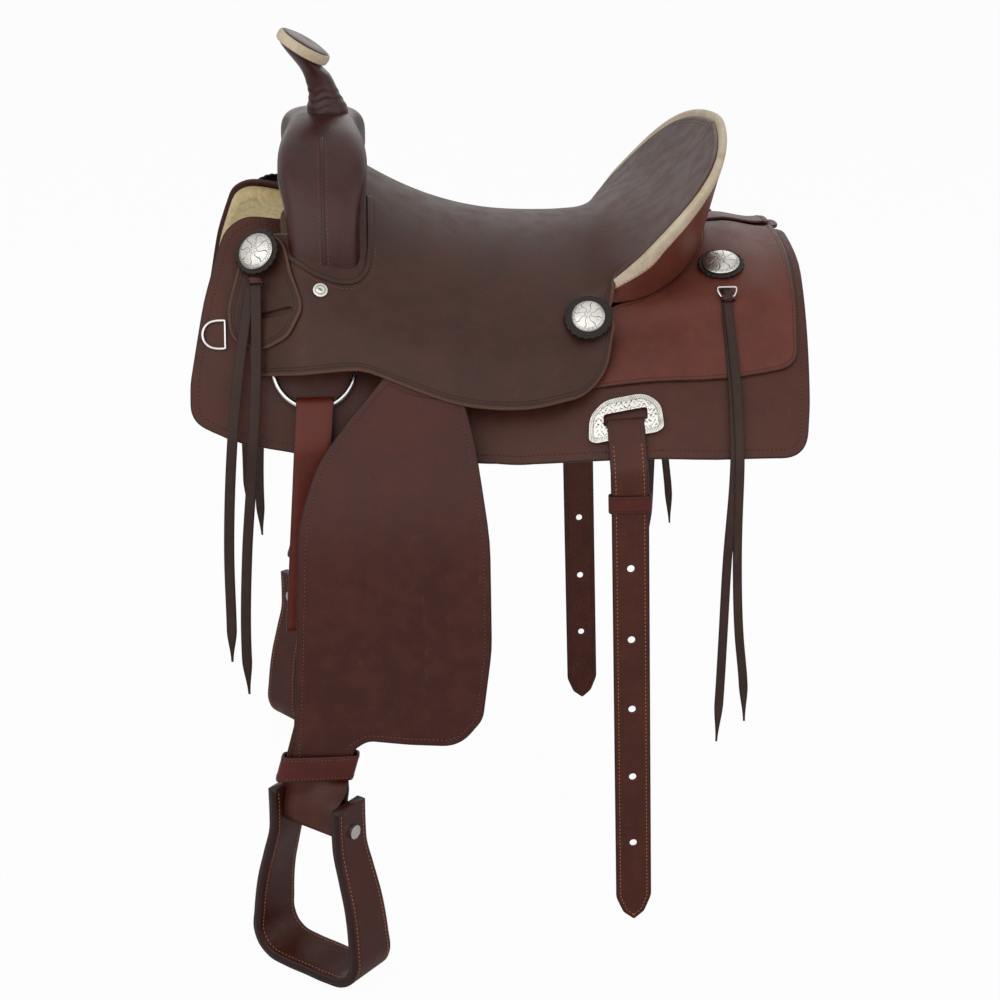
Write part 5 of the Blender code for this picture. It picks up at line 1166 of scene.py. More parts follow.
# Back: foot + up * w, two skins apart. Band: superellipse (power 0.7) round the rim line.
def buildCantle():
    count = 220
    top, foot = cantleLines(count)
    share = np.linspace(0, 1, count)
    up = top - foot
    run = unit(np.gradient(top, axis=0) + np.gradient(foot, axis=0))
    inward = unit(np.cross(up, run))
    rimRun = unit(np.gradient(top, axis=0))
    reach = rim['bandDepth'] * bandTaper(share) - rim['bandRise'] - 0.004
    square = np.linalg.norm(up - rimRun * (up * rimRun).sum(1, keepdims=True), axis=1)
    high = np.clip(1 - reach / square, 0.15, 1.0)
    keep = slice(4, count - 4)
    w = np.linspace(-0.01, 1, 16)[None, :, None] * high[keep, None, None]
    outer = foot[keep, None] + up[keep, None] * w - inward[keep, None] * rim['proud']
    inner = outer + inward[keep, None] * rim['leather']
    rings = np.concatenate([outer, inner[:, ::-1]], axis=1)
    tubePiece('cantleBackLeather', rings, leatherLook('jockey'), 'saddle', ('cantle_back',),
              edge=np.full(rings.shape[:2], 0.03))
    count = 260
    top, foot = cantleLines(count)
    share = np.linspace(0, 1, count)
    run = unit(np.gradient(top, axis=0))
    down = foot - top + np.array([0, 0, -0.006])
    down = unit(down - run * (down * run).sum(1, keepdims=True))
    outward = unit(np.cross(down, run))
    taper = bandTaper(share)
    deep, thick = rim['bandDepth'] / 2 * taper, rim['bandThick'] / 2 * taper
    centre = top + down * (deep - rim['bandRise'])[:, None] + outward * (0.002 - thick)[:, None]
    a = np.linspace(0, 2 * np.pi, 28, endpoint=False)
    c, s = np.cos(a), np.sin(a)
    ripple = 1 + 0.02 * np.sin(share * 190)[:, None] * np.sin(share * 47)[:, None]
    below = down[:, None] * signedPower(c, 0.7)[None, :, None] * deep[:, None, None]
    rounded = (signedPower(s, 0.7)[None] * ripple)[..., None]
    beside = outward[:, None] * rounded * thick[:, None, None]
    rings = centre[:, None] + below + beside
    tubePiece('cantleRawhide', rings, rawhideLook(), 'saddle', ('cantle_binding',))

    def bandPlace(u, s, h):
        n = np.interp(s, [0.0, 1.0], [0, count - 1])
        def at(values):
            return interpolate(n, np.arange(count), values)
        return (at(centre) + at(down) * (u * np.interp(n, np.arange(count), deep))[..., None]
                + at(outward) * (np.asarray(h) + np.interp(n, np.arange(count), thick))[..., None])
    path = np.stack([np.full(400, 0.66), np.linspace(0.02, 0.98, 400)], axis=1)
    stitchRow('cantleStitches', bandPlace, path, -0.0004, tanThread(), 'saddle', pitch=0.0052,
              slant=0.0)


print('saddle: piece makers ready')
for sideSign, word, _ in sides:
    buildSkirts(sideSign, word)
    buildHolder(sideSign, word)
buildSeat()
buildHorn()
buildCantle()
print('saddle: covers made')

# Fender, stirrup leather, hobble and stirrup
legParts = {'x': -0.070, 'lean': 0.272, 'width': 0.074, 'hobbleS': 0.535, 'hobbleHeight': 0.030,
            'twist': 40.0, 'bolt': (-0.2220, 0.3141, -0.5281), 'stirrupThick': 0.011, 'neck': 0.078,
            'wide': 0.150, 'height': 0.180, 'ear': 0.030, 'depthTop': 0.046, 'depthTread': 0.060,
            'sewnFrom': 0.165, 'fenderStitch': 0.0075, 'half': 0.037}
fenderLine = np.array([
    (0.1199, 0.0179), (0.1383, 0.0069), (0.1558, -0.0022), (0.1719, -0.0106), (0.1862, -0.0196),
    (0.1982, -0.0303), (0.2076, -0.0439), (0.2363, -0.1001), (0.2649, -0.1563), (0.2732, -0.1744),
    (0.2801, -0.1932), (0.2854, -0.2125), (0.2892, -0.2321), (0.2914, -0.2520), (0.2984, -0.3518),
    (0.3054, -0.4515), (0.3123, -0.5513)])
spineRows = np.hstack([np.zeros((len(fenderLine), 1)), fenderLine])
fenderSurface, _, _ = strapSurface(spineRows,
                                   np.tile([legParts['half'], 0, 0], (len(spineRows), 1)), per=12)


# Middle of the stirrup leather: x - lean * s, down to the hobble's end.
def leatherCentre(s):
    low = legParts['hobbleS'] + legParts['hobbleHeight']
    return legParts['x'] - legParts['lean'] * np.clip(s, 0.0, low)


# Corners (x, s, radius) from the top edge round the wide lower end to the hobble.
def fenderOutline():
    low = legParts['hobbleS'] + legParts['hobbleHeight'] - 0.004
    neck = float(leatherCentre(legParts['hobbleS'])) + 0.006
    end = float(leatherCentre(low)) + 0.006
    return roundCorners([
        (-0.136, 0.123, 0.006), (-0.112, 0.1365, 0.04), (-0.085, 0.1420, 0.04),
        (-0.0566, 0.1408, 0.006), (-0.044, 0.200, 0.15), (-0.031, 0.300, 0.30),
        (-0.030, 0.420, 0.20), (-0.040, 0.500, 0.030), (-0.066, 0.531, 0.040),
        (-0.120, 0.527, 0.20), (-0.165, 0.521, 0.020),
        (neck + 0.031, legParts['hobbleS'] - 0.005, 0.006), (end + 0.030, low, 0.0),
        (end - 0.033, low, 0.0), (neck - 0.035, legParts['hobbleS'] - 0.02, 0.05),
        (-0.2385, 0.420, 0.20), (-0.232, 0.280, 0.15), (-0.210, 0.215, 0.10),
        (-0.175, 0.168, 0.10)])


# Over both plies of the stirrup leather.
def fenderPlace(x, s, h):
    return fenderSurface(x, s, h + leatherStack + gap)


stirrupLeatherSpine = [
    (-0.0700, 0.0869, 0.0420), (-0.0700, 0.1211, 0.0218), (-0.0723, 0.1420, 0.0093),
    (-0.0781, 0.1636, -0.0023), (-0.0858, 0.1840, -0.0144), (-0.0938, 0.2013, -0.0279),
    (-0.1005, 0.2136, -0.0442), (-0.1108, 0.2309, -0.0781), (-0.1339, 0.2695, -0.1539),
    (-0.1448, 0.2850, -0.1916), (-0.1530, 0.2924, -0.2213), (-0.1611, 0.2966, -0.2516),
    (-0.1788, 0.3011, -0.3165), (-0.2155, 0.3105, -0.4511), (-0.2237, 0.3126, -0.4811),
    (-0.2237, 0.3147, -0.4909), (-0.2271, 0.3185, -0.5026), (-0.2283, 0.3203, -0.5074),
    (-0.2298, 0.3227, -0.5173), (-0.2298, 0.3234, -0.5272), (-0.2288, 0.3226, -0.5334),
    (-0.2259, 0.3195, -0.5382), (-0.2220, 0.3150, -0.5403), (-0.2181, 0.3102, -0.5391),
    (-0.2152, 0.3065, -0.5349), (-0.2142, 0.3048, -0.5289), (-0.2142, 0.3042, -0.5190),
    (-0.2157, 0.3052, -0.5088), (-0.2169, 0.3063, -0.5037), (-0.2207, 0.3084, -0.4914),
    (-0.2237, 0.3090, -0.4813), (-0.2155, 0.3070, -0.4514), (-0.1788, 0.2975, -0.3167),
    (-0.1611, 0.2930, -0.2519), (-0.1530, 0.2889, -0.2220), (-0.1448, 0.2816, -0.1927),
    (-0.1339, 0.2663, -0.1555), (-0.1149, 0.2345, -0.0931), (-0.0700, 0.1666, -0.0435),
    (-0.0700, 0.1390, -0.0185), (-0.0700, 0.1090, 0.0037), (-0.0700, 0.0768, 0.0227),
    (-0.0700, 0.0679, 0.0269), (-0.0700, 0.0602, 0.0320), (-0.0700, 0.0585, 0.0371),
    (-0.0700, 0.0594, 0.0426), (-0.0700, 0.0627, 0.0471), (-0.0700, 0.0677, 0.0492),
    (-0.0700, 0.0773, 0.0465)]


# Half width along x, turned towards the bolt between the hobble and the bolt.
def stirrupLeatherAcross():
    z = np.array(stirrupLeatherSpine)[:, 2]
    turn = np.radians(legParts['twist']) * smooth(-0.483, -0.4985, z)
    tilt = smooth(-0.050, 0.010, z) * -0.0105
    return np.stack([legParts['half'] * np.cos(turn), legParts['half'] * np.sin(turn), tilt],
                    axis=1)


# Each point becomes a quarter of its neighbours each and half of itself.
def softened(points, times=2):
    for _ in range(times):
        points = (np.roll(points, 1, axis=0) + 2 * points + np.roll(points, -1, axis=0)) / 4
    return points


# A closed strap round the given corner points, its corners eased, with stitched edges.
def loopPiece(name, corners, across, thick, look, body, node, side, stitchAt=None):
    line = softened(densify(corners, 0.0030))
    wide = np.tile(across, (len(line), 1))
    middle = line.mean(0)
    surface = strapSurface(line, wide, 1.0, per=2, closed=True)
    place, stations, _ = surface
    probe = place(np.zeros(1), np.array([stations[-1] * 0.1]), np.array([0.001]))[0]
    base = place(np.zeros(1), np.array([stations[-1] * 0.1]), np.zeros(1))[0]
    flip = 1.0 if np.dot(probe - base, base - middle) > 0 else -1.0
    strapPiece(name, surface, thick, look, body, (node,), side, closed=True, spacing=0.002)
    if stitchAt:
        outward, _, _ = strapSurface(line, wide, flip, per=2, closed=True)
        for sign in (-1, 1):
            path = np.stack([np.full(120, sign * stitchAt),
                             np.linspace(0, stations[-1] * 0.998, 120)], axis=1)
            stitchRow('%s_stitches_%d' % (name, sign > 0), outward, path, thick / 2, darkThread(),
                      body, side, pitch=0.0040, length=0.0027)


# Middle line (across, up) from one ear round the tread to the other.
def stirrupCurve():
    leg = legParts['neck'] / 2 + legParts['stirrupThick'] / 2
    wide = legParts['wide'] / 2 - legParts['stirrupThick'] / 2
    h = legParts['height']
    half = [(leg, legParts['ear']), (leg, 0.0), (leg + 0.001, -0.020),
            (mix(leg, wide, 0.35), -0.050), (mix(leg, wide, 0.72), -0.085),
            (wide - 0.001, -h + 0.050), (wide, -h + 0.026), (wide - 0.006, -h + 0.012),
            (wide - 0.018, -h + 0.003), (wide - 0.040, -h)]
    return np.array(half + [(0.0, -h)] + [(-x, z) for x, z in half[::-1]])


# Fender, stirrup leather, hobble and stirrup of one side; fender and hobble on the fender's body,
# the stirrup on the stirrup's, the stirrup leather on neither.
def buildLeg(side, word, mark):
    fender, stirrup = mark + '_fender', mark + '_stirrup'
    ring = fenderOutline()
    panelPiece('fenderLeather_' + word, ring, fenderPlace, shape['fender'], leatherLook('fender'),
               fender, ('fender_' + word,), side)
    sewn = inset(turned(densify(ring, 0.004), 1), legParts['fenderStitch'])
    covered = sewn[:, 1] < legParts['sewnFrom']  # under the seat's flap, where nothing is sewn
    first = np.flatnonzero(covered & ~np.roll(covered, -1))[0] + 1
    sewn = np.roll(sewn, -first, axis=0)[:np.count_nonzero(~covered)]
    stitchRow('fenderStitches_' + word, fenderPlace, sewn, shape['fender'], darkThread(), fender,
              side)
    loop = strapSurface(stirrupLeatherSpine, stirrupLeatherAcross(), 1.0, per=6, closed=True)
    bend = ('saddle', fender, (-0.0700, side * 0.098, 0.0300), (-0.0755, side * 0.150, 0.0040))
    strapPiece('stirrupLeather_' + word, loop, shape['strap'], leatherLook('strap'), bend,
               ('stirrup_leather_' + word,), side, closed=True)
    s = legParts['hobbleS'] + legParts['hobbleHeight'] / 2
    low, high = -2 * gap, leatherStack + shape['fender'] + 3 * gap
    half = legParts['width'] / 2 + 3 * gap + shape['strap'] / 2
    centre = (low + high) / 2
    lift = high - centre + shape['strap'] / 2
    corners = [(-1, -1), (1, -1), (1.02, 0), (1, 1), (0, 1.15), (-1, 1), (-1.02, 0)]
    points = np.array([fenderSurface(np.array([float(leatherCentre(s)) + a * half]), np.array([s]),
                                     np.array([centre + b * lift]))[0] for a, b in corners])
    slope = np.array([[-legParts['lean'], 0.0697 * 0.96, -0.9976 * 0.96]])
    fall = unit(slope)[0] * legParts['hobbleHeight'] / 2
    loopPiece('hobbleLeather_' + word, points, fall, shape['strap'], leatherLook('hobble'), fender,
              'hobble_strap_' + word, side, 0.0112)
    turn = math.radians(legParts['twist'])
    alongBolt = np.array([math.cos(turn), math.sin(turn), 0.0])
    through = np.array([-math.sin(turn), math.cos(turn), 0.0])
    flat = stirrupCurve()
    spine = (np.array(legParts['bolt']) + flat[:, :1] * alongBolt
             + flat[:, 1:] * np.array([0, 0, 1.0]))
    down = np.clip((-flat[:, 1] - 0.02) / (legParts['height'] - 0.04), 0, 1)
    depth = mix(legParts['depthTop'], legParts['depthTread'], down) / 2
    surface = strapSurface(spine, through * depth[:, None], 1.0, per=10)
    strapPiece('stirrupWood_' + word, surface, legParts['stirrupThick'], leatherLook('fender'),
               stirrup, ('stirrup_' + word,), side, spacing=0.003)
    place, stations, widths = surface
    for sign in (-1, 1):
        for face in (-1, 1):
            along = np.linspace(0.004, stations[-1] - 0.004, 240)
            path = np.stack([sign * (np.interp(along, stations, widths) - 0.0050), along], axis=1)
            stitchRow('stirrupStitches_%s_%d%d' % (word, sign > 0, face > 0), place, path,
                      face * (legParts['stirrupThick'] / 2), tanThread(), stirrup, side,
                      pitch=0.0048)


# Rigging: ring, latigo, plate, billet, keeper and dee
rigParts = {
    'ringCentre': (-0.2120, 0.19181, -0.05348), 'ringRadius': 0.043, 'ringWire': 0.0030,
    'plateThick': 0.0020, 'plateHalf': 0.040, 'plateReach': 0.021, 'slotHalf': (0.023, 0.006),
    'holes': 5, 'holeRadius': 0.0040, 'holeFirst': 0.100, 'holePitch': 0.084,
    'billetFold': 0.590, 'billetStitch': 0.0050, 'keeper': 0.0026, 'keeperHalf': 0.0204,
    'keeperZ': (-0.1920, -0.1720), 'keeperY': (0.2768, 0.2845), 'deeWire': 0.0016,
}
ringTurn = np.array([(0.99941, 0.0, 0.0342), (-0.03003, 0.47877, 0.87743),
                     (-0.01637, -0.87794, 0.47849)])
latigoSpine = [
    (-0.2301, 0.2434, -0.3359), (-0.2202, 0.2414, -0.1973), (-0.2188, 0.2399, -0.1795),
    (-0.2175, 0.2378, -0.1617), (-0.2163, 0.2338, -0.1443), (-0.2150, 0.2272, -0.1283),
    (-0.2132, 0.2126, -0.1037), (-0.2122, 0.2049, -0.0897), (-0.2122, 0.2042, -0.0868),
    (-0.2121, 0.2050, -0.0838), (-0.2120, 0.2072, -0.0818), (-0.2119, 0.2102, -0.0810),
    (-0.2118, 0.2131, -0.0819), (-0.2118, 0.2152, -0.0841), (-0.2129, 0.2228, -0.0981),
    (-0.2148, 0.2360, -0.1245), (-0.2162, 0.2393, -0.1431), (-0.2175, 0.2414, -0.1612),
    (-0.2188, 0.2434, -0.1791), (-0.2202, 0.2450, -0.1972), (-0.2301, 0.2470, -0.3319)]
billetSpine = [
    (0.1188, 0.2789, -0.1940), (0.1181, 0.2789, -0.1730), (0.1179, 0.2782, -0.1632),
    (0.1177, 0.2764, -0.1535), (0.1177, 0.2739, -0.1447), (0.1167, 0.2545, -0.1124),
    (0.1165, 0.2479, -0.1038), (0.1160, 0.2472, -0.1023), (0.1160, 0.2474, -0.1007),
    (0.1160, 0.2483, -0.0994), (0.1160, 0.2498, -0.0989), (0.1160, 0.2514, -0.0992),
    (0.1156, 0.2526, -0.1002), (0.1158, 0.2595, -0.1092), (0.1168, 0.2792, -0.1420),
    (0.1174, 0.2815, -0.1526), (0.1178, 0.2821, -0.1628), (0.1181, 0.2825, -0.1729),
    (0.1188, 0.2825, -0.1940), (0.1337, 0.2825, -0.6920)]
deeLine = [
    (-0.3055, 0.1776, -0.0334), (-0.3145, 0.1774, -0.0335), (-0.3220, 0.1764, -0.0317),
    (-0.3275, 0.1739, -0.0269), (-0.3295, 0.1706, -0.0201), (-0.3275, 0.1673, -0.0134),
    (-0.3220, 0.1650, -0.0084), (-0.3145, 0.1642, -0.0066), (-0.3055, 0.1643, -0.0065)]


# A circle of the wire's radius carried round the line.
def roundWire(name, line, radius, look, body, nodes, side, around=14):
    line = np.asarray(line, dtype=float)
    run = unit(np.roll(line, -1, axis=0) - np.roll(line, 1, axis=0))
    normal = unit(np.cross(line - line.mean(0), run))
    normal = np.where((normal @ normal[0])[:, None] < 0, -normal, normal)
    other = np.cross(run, normal)
    a = np.linspace(0, 2 * np.pi, around, endpoint=False)[None, :, None]
    rings = line[:, None] + (normal[:, None] * np.cos(a) + other[:, None] * np.sin(a)) * radius
    rings[..., 1] *= side
    return tubePiece(name, rings, look, body, nodes, True)


# Slanted rope cuts in a border 1 to 4 mm from the edge, with scrolls inside it.
def ropeEdge(x, v, rimDistance):
    border = smooth(0.0008, 0.0014, rimDistance) * (1 - smooth(0.0036, 0.0042, rimDistance))
    rope = smooth(0.15, 0.9, np.sin((x + v * 0.9) * 2600))
    line = np.exp(-((rimDistance - 0.0046) / 0.0004) ** 2)
    waves = np.sin(x * 620 + 2.4 * np.sin(v * 700)) * np.cos(v * 560 + 1.9 * np.sin(x * 520))
    scroll = smooth(0.55, 0.95, np.abs(waves))
    return np.clip(border * rope + line + scroll * smooth(0.0048, 0.0056, rimDistance), 0, 1)


# Ring, latigo or off billet, plate, rear billet, keeper and dee of one side.
def buildRigging(side, word, mark):
    a = np.linspace(0, 2 * np.pi, 120, endpoint=False)
    circle = np.stack([np.cos(a), np.sin(a), 0 * a], axis=1) * rigParts['ringRadius']
    roundWire('ringChrome_' + word, np.array(rigParts['ringCentre']) + circle @ ringTurn.T,
              rigParts['ringWire'], chromeLook(), 'saddle', ('rigging_ring_' + word,), side)
    strap = 'near_latigo' if side < 0 else 'off_billet'
    node = 'latigo_left' if side < 0 else 'off_billet_right'
    across = np.tile([0.0200, -0.0003, -0.0001], (len(latigoSpine), 1))
    strapPiece('latigoLeather_' + word, strapSurface(latigoSpine, across, per=6), shape['strap'],
               leatherLook('latigo'), strap, (node,), side)
    half, top, low = (rigParts['plateHalf'], shape['plateV'] - rigParts['plateReach'],
                      shape['plateV'] + rigParts['plateReach'])
    x = shape['plateX']
    outline = roundCorners([
        (x - half, low - 0.004, 0.012), (x - half + 0.002, top + 0.014, 0.02),
        (x - half * 0.55, top, 0.03), (x + half * 0.55, top, 0.03),
        (x + half - 0.002, top + 0.014, 0.02), (x + half, low - 0.004, 0.012),
        (x + half * 0.8, low, 0.012), (x - half * 0.8, low, 0.012)])
    wideHalf, tallHalf = rigParts['slotHalf']
    slot = roundCorners([(x + a * wideHalf, shape['plateV'] + b * tallHalf, 0.003)
                         for a, b in ((-1, -1), (1, -1), (1, 1), (-1, 1))])
    lift = skirtTop + shape['strap'] + 2 * gap

    def platePlace(px, v, h):
        return back(px, v, h + lift)
    panelPiece('plateSilver_' + word, outline, platePlace, rigParts['plateThick'], silverLook(),
               'saddle', ('rear_rigging_plate_' + word,), side, holes=[slot], step=0.0007,
               rounding=0.0006, engrave=ropeEdge)
    billet = mark + '_rear_billet'
    wide = np.tile([0.020, 0.0004, 0.0012], (len(billetSpine), 1))
    rows = densify(np.hstack([billetSpine, wide]), 0.012, closed=False)
    place, stations, _ = strapSurface(rows[:, :3], rows[:, 3:], 1.0, per=5)
    end = stations[-1]
    outline = roundCorners([(-0.020, 0.0, 0.001), (0.020, 0.0, 0.001), (0.020, end - 0.030, 0.02),
                            (0.012, end - 0.010, 0.012), (0.0, end, 0.003),
                            (-0.012, end - 0.010, 0.012), (-0.020, end - 0.030, 0.02)])
    angle = np.linspace(0, 2 * np.pi, 20, endpoint=False)
    r, first = rigParts['holeRadius'], end - rigParts['holeFirst']
    holes = [np.stack([r * np.cos(angle), first - rigParts['holePitch'] * k + r * np.sin(angle)],
                      axis=1) for k in range(rigParts['holes'])]

    def billetPlace(u, s, h):
        return place(u, s, h - shape['strap'] / 2)
    bend = ('saddle', billet, (x, side * 0.2545, -0.1065), (x, side * 0.2680, -0.1290))
    panelPiece('billetLeather_' + word, outline, billetPlace, shape['strap'], leatherLook('strap'),
               bend, ('rear_billet_' + word,), side, holes=holes, step=0.0030)
    fold = end - rigParts['billetFold']
    path = inset(turned(densify(outline, 0.003), 1), rigParts['billetStitch'])
    path = path[path[:, 1] > fold + 0.012]
    jumps = np.linalg.norm(np.diff(path, axis=0, append=path[:1]), axis=1)
    path = np.roll(path, -int(np.argmax(jumps)) - 1, axis=0)  # starts after the gap over the fold
    stitchRow('billetStitches_' + word, billetPlace, path, shape['strap'], tanThread(), bend, side)
    z = sum(rigParts['keeperZ']) / 2
    centreX = x + 0.030 * (-0.1020 - z)
    t = rigParts['keeper'] / 2
    outerY, innerY = rigParts['keeperY'][1] + t, rigParts['keeperY'][0] - t
    reach = rigParts['keeperHalf'] + t
    corners = [(centreX - reach, innerY, z), (centreX + reach, innerY, z),
               (centreX + reach, outerY, z), (centreX - reach, outerY, z)]
    loopPiece('keeperLeather_' + word, np.array(corners), np.array([-0.0003, 0, 0.0100]),
              rigParts['keeper'], leatherLook('hobble'), mark + '_keeper', 'billet_keeper_' + word,
              side)
    bow = curveThrough(deeLine, 6)
    bar = bow[-1] + (bow[0] - bow[-1]) * (np.arange(1, 20) / 20)[:, None]
    roundWire('deeChrome_' + word, np.vstack([bow, bar]), rigParts['deeWire'], chromeLook(),
              mark + '_dee', ('breast_dee_' + word,), side)


# Collar: the seat's rolled edge round the foot of the swell
collar = {
    'path': [(-0.1485, 0.040), (-0.1490, 0.080), (-0.1500, 0.110), (-0.1545, 0.132),
             (-0.1660, 0.1465), (-0.1800, 0.1520), (-0.1950, 0.1530), (-0.2120, 0.1510),
             (-0.2260, 0.1450), (-0.2390, 0.1370)],
    'width': 0.0060, 'thick': 0.0018, 'stitchOut': 0.0062,
}


# A strap along the path on the seat's face, and stitches stitchOut beside it.
def buildCollar(side, word):
    path = curveThrough(np.array([(x, v, 0.0) for x, v in collar['path']]), 8)[:, :2]
    x, v = path[:, 0], path[:, 1]
    face = seatPlace(x, v, np.full(len(x), collar['thick'] * 0.35))
    normal = unit(seatPlace(x, v, np.full(len(x), 0.01)) - face)
    across = unit(np.cross(normal, unit(np.gradient(face, axis=0)))) * collar['width'] / 2
    strapPiece('seatCollar_' + word, strapSurface(face, across, per=3), collar['thick'],
               leatherLook('seat'), 'saddle', ('seat',), side, spacing=0.003)
    run = unit(np.gradient(path, axis=0))
    beside = np.stack([-run[:, 1], run[:, 0]], axis=1)
    out = path + beside * -collar['stitchOut'] * np.sign(run[0, 1])
    stitchRow('collarStitches_' + word, seatPlace, out, 0.0001, darkThread(), 'saddle', side)


# Rosettes, conchos and screws
ornament = {
    'front': {'at': (-0.262, 0.137), 'radius': 0.0205},
    'cantle': {'at': (0.082, 0.166), 'radius': 0.0180},
    'rear': {'at': (0.235, 0.103), 'radius': 0.0205},
    'rosetteRadius': 0.0260, 'rosetteThick': 0.0032, 'scallops': 20, 'scallopDepth': 0.055,
    'screwAt': (-0.203, 0.167), 'screwRadius': 0.0080, 'rise': 0.0065, 'cutDepth': 0.00035,
}


# Origin and axes of a disc resting on the highest points of place within its radius.
def discFrame(place, at, radius, side):
    x, v = np.array([at[0]]), np.array([at[1]])
    zero, step = np.zeros(1), 0.004
    centre = place(x, v, zero)[0]
    normal = unit(np.cross(place(x + step, v, zero)[0] - place(x - step, v, zero)[0],
                           place(x, v + step, zero)[0] - place(x, v - step, zero)[0]))
    a, share = np.meshgrid(np.arange(24) * np.pi / 12, (0.35, 0.7, 1.0))
    spots = place(at[0] + radius * (share * np.cos(a)).ravel(),
                  at[1] + radius * (share * np.sin(a)).ravel(), np.zeros(a.size))
    lift = max(0.0, float(((spots - centre) @ normal).max())) + 1.5 * gap
    origin = (centre + normal * lift) * (1, side, 1)
    up = normal * (1, side, 1)
    first = unit(np.array([1.0, 0, 0]) - up * up[0])
    return origin, np.stack([first, np.cross(up, first), up])


# Rings of a profile (share of the radius, height), with reach(a) as the radius at each angle.
def discPiece(name, placed, profile, reach, look, body, node, cutAt=None, around=160, lifted=0.0):
    origin, axes = placed
    a = np.linspace(0, 2 * np.pi, around, endpoint=False)
    share, height = (np.array(p) for p in zip(*profile))
    r = share[:, None] * reach(a, share[:, None])
    z = np.repeat(height[:, None], around, axis=1)
    cut = None
    if cutAt:
        cut = cutAt(a[None] + 0 * r, share[:, None] + 0 * r) * (height[:, None] > 0.0004)
        z = z - cut * ornament['cutDepth']
    local = np.stack([r * np.cos(a), r * np.sin(a), z + lifted], axis=-1)
    rings = origin + local @ axes
    return tubePiece(name, rings, look, body, (node,), cut=cut,
                     edge=(1 - share[:, None]) * ornament['rosetteRadius'] + 0 * r)


# Eight curling leaves, a small flower in the middle, a plain groove and a rope edge.
def leafCuts(a, share):
    leaf = np.abs(np.sin(4 * a + 3.0 * share + 1.2 * np.sin(6.3 * share)))
    veins = np.abs(np.sin(20 * a + 9 * share)) * smooth(0.45, 0.8, leaf)
    field = smooth(0.22, 0.26, share) * (1 - smooth(0.80, 0.83, share))
    cut = (field * np.maximum(1 - smooth(0.0, 0.30, leaf),
                              0.7 * (1 - smooth(0.0, 0.35, veins)) * smooth(0.5, 0.7, leaf)))
    petals = 1 - smooth(0.0, 0.45, np.abs(np.sin(3 * a)))
    flower = (1 - smooth(0.17, 0.20, share)) * petals * smooth(0.05, 0.08, share)
    grooves = np.exp(-((share - 0.21) / 0.012) ** 2) + np.exp(-((share - 0.845) / 0.012) ** 2)
    rope = smooth(0.2, 0.8, np.sin(44 * a + 60 * share)) * smooth(0.87, 0.88, share)
    rope = rope * (1 - smooth(0.97, 0.98, share))
    return np.clip(cut + flower + grooves + rope, 0, 1)


# Rosette radius less 5.5% between scallops: wave = |sin|^0.7.
def scallopReach(a, share):
    wave = np.abs(np.sin(a * ornament['scallops'] / 2)) ** 0.7
    depth = ornament['scallopDepth'] * (1 - wave) * smooth(0.6, 1.0, share)
    return ornament['rosetteRadius'] * (1 - depth)


# Each concho's dome is rise * (1 - s^2.2)^0.8 on its scalloped rosette.
def buildOrnaments(side, word):
    dome = [(s, ornament['rise'] * (1 - s ** 2.2) ** 0.8 * 0.82 + ornament['rise'] * 0.18)
            for s in np.linspace(0.004, 0.965, 46)]
    dome += [(0.985, ornament['rise'] * 0.20), (1.0, ornament['rise'] * 0.12), (1.0, 0.0),
             (0.004, 0.0)]
    t = ornament['rosetteThick']
    leafy = [(0.004, t), (0.55, t), (0.80, t), (0.84, t * 0.90), (0.88, t), (0.93, t),
             (0.975, t * 0.93), (1.0, t * 0.62), (1.0, t * 0.25), (0.975, 0.0), (0.004, 0.0)]

    def jockeyFace(x, v, h):
        return back(x, v, h + jockeyBottom(x, v) + shape['jockey'])

    def holderFace(x, v, h):
        return seatPlace(x, v, h + seatParts['holderLift'] + seatParts['holderLeather'])
    for place, surface in (('front', holderFace), ('cantle', seatPlace), ('rear', jockeyFace)):
        spec = ornament[place]
        placed = discFrame(surface, spec['at'], ornament['rosetteRadius'], side)
        discPiece('%sRosette_%s' % (place, word), placed, leafy, scallopReach,
                  leatherLook('rosette'), 'saddle', '%s_rosette_%s' % (place, word))
        radius = spec['radius']
        discPiece('%sConcho_%s' % (place, word), placed, dome, lambda a, s: radius + 0 * a,
                  silverLook(), 'saddle', '%s_concho_%s' % (place, word), leafCuts, 200, t + gap)
    cap = [(0.01, 0.0033), (0.30, 0.0034), (0.52, 0.0031), (0.60, 0.0022), (0.68, 0.0016),
           (0.80, 0.0018), (0.94, 0.0014), (1.0, 0.0008), (1.0, 0.0), (0.01, 0.0)]

    def slotCut(a, share):
        bar = np.exp(-((share * np.sin(a + 0.6)) / 0.10) ** 2) * (1 - smooth(0.44, 0.50, share))
        return np.clip(bar + np.exp(-((share - 0.66) / 0.03) ** 2), 0, 1)
    placed = discFrame(seatPlace, ornament['screwAt'], ornament['screwRadius'], side)
    discPiece('screwChrome_' + word, placed, cap, lambda a, s: ornament['screwRadius'] + 0 * a,
              silverLook(), 'saddle', 'seat_screw_' + word, slotCut, 96)
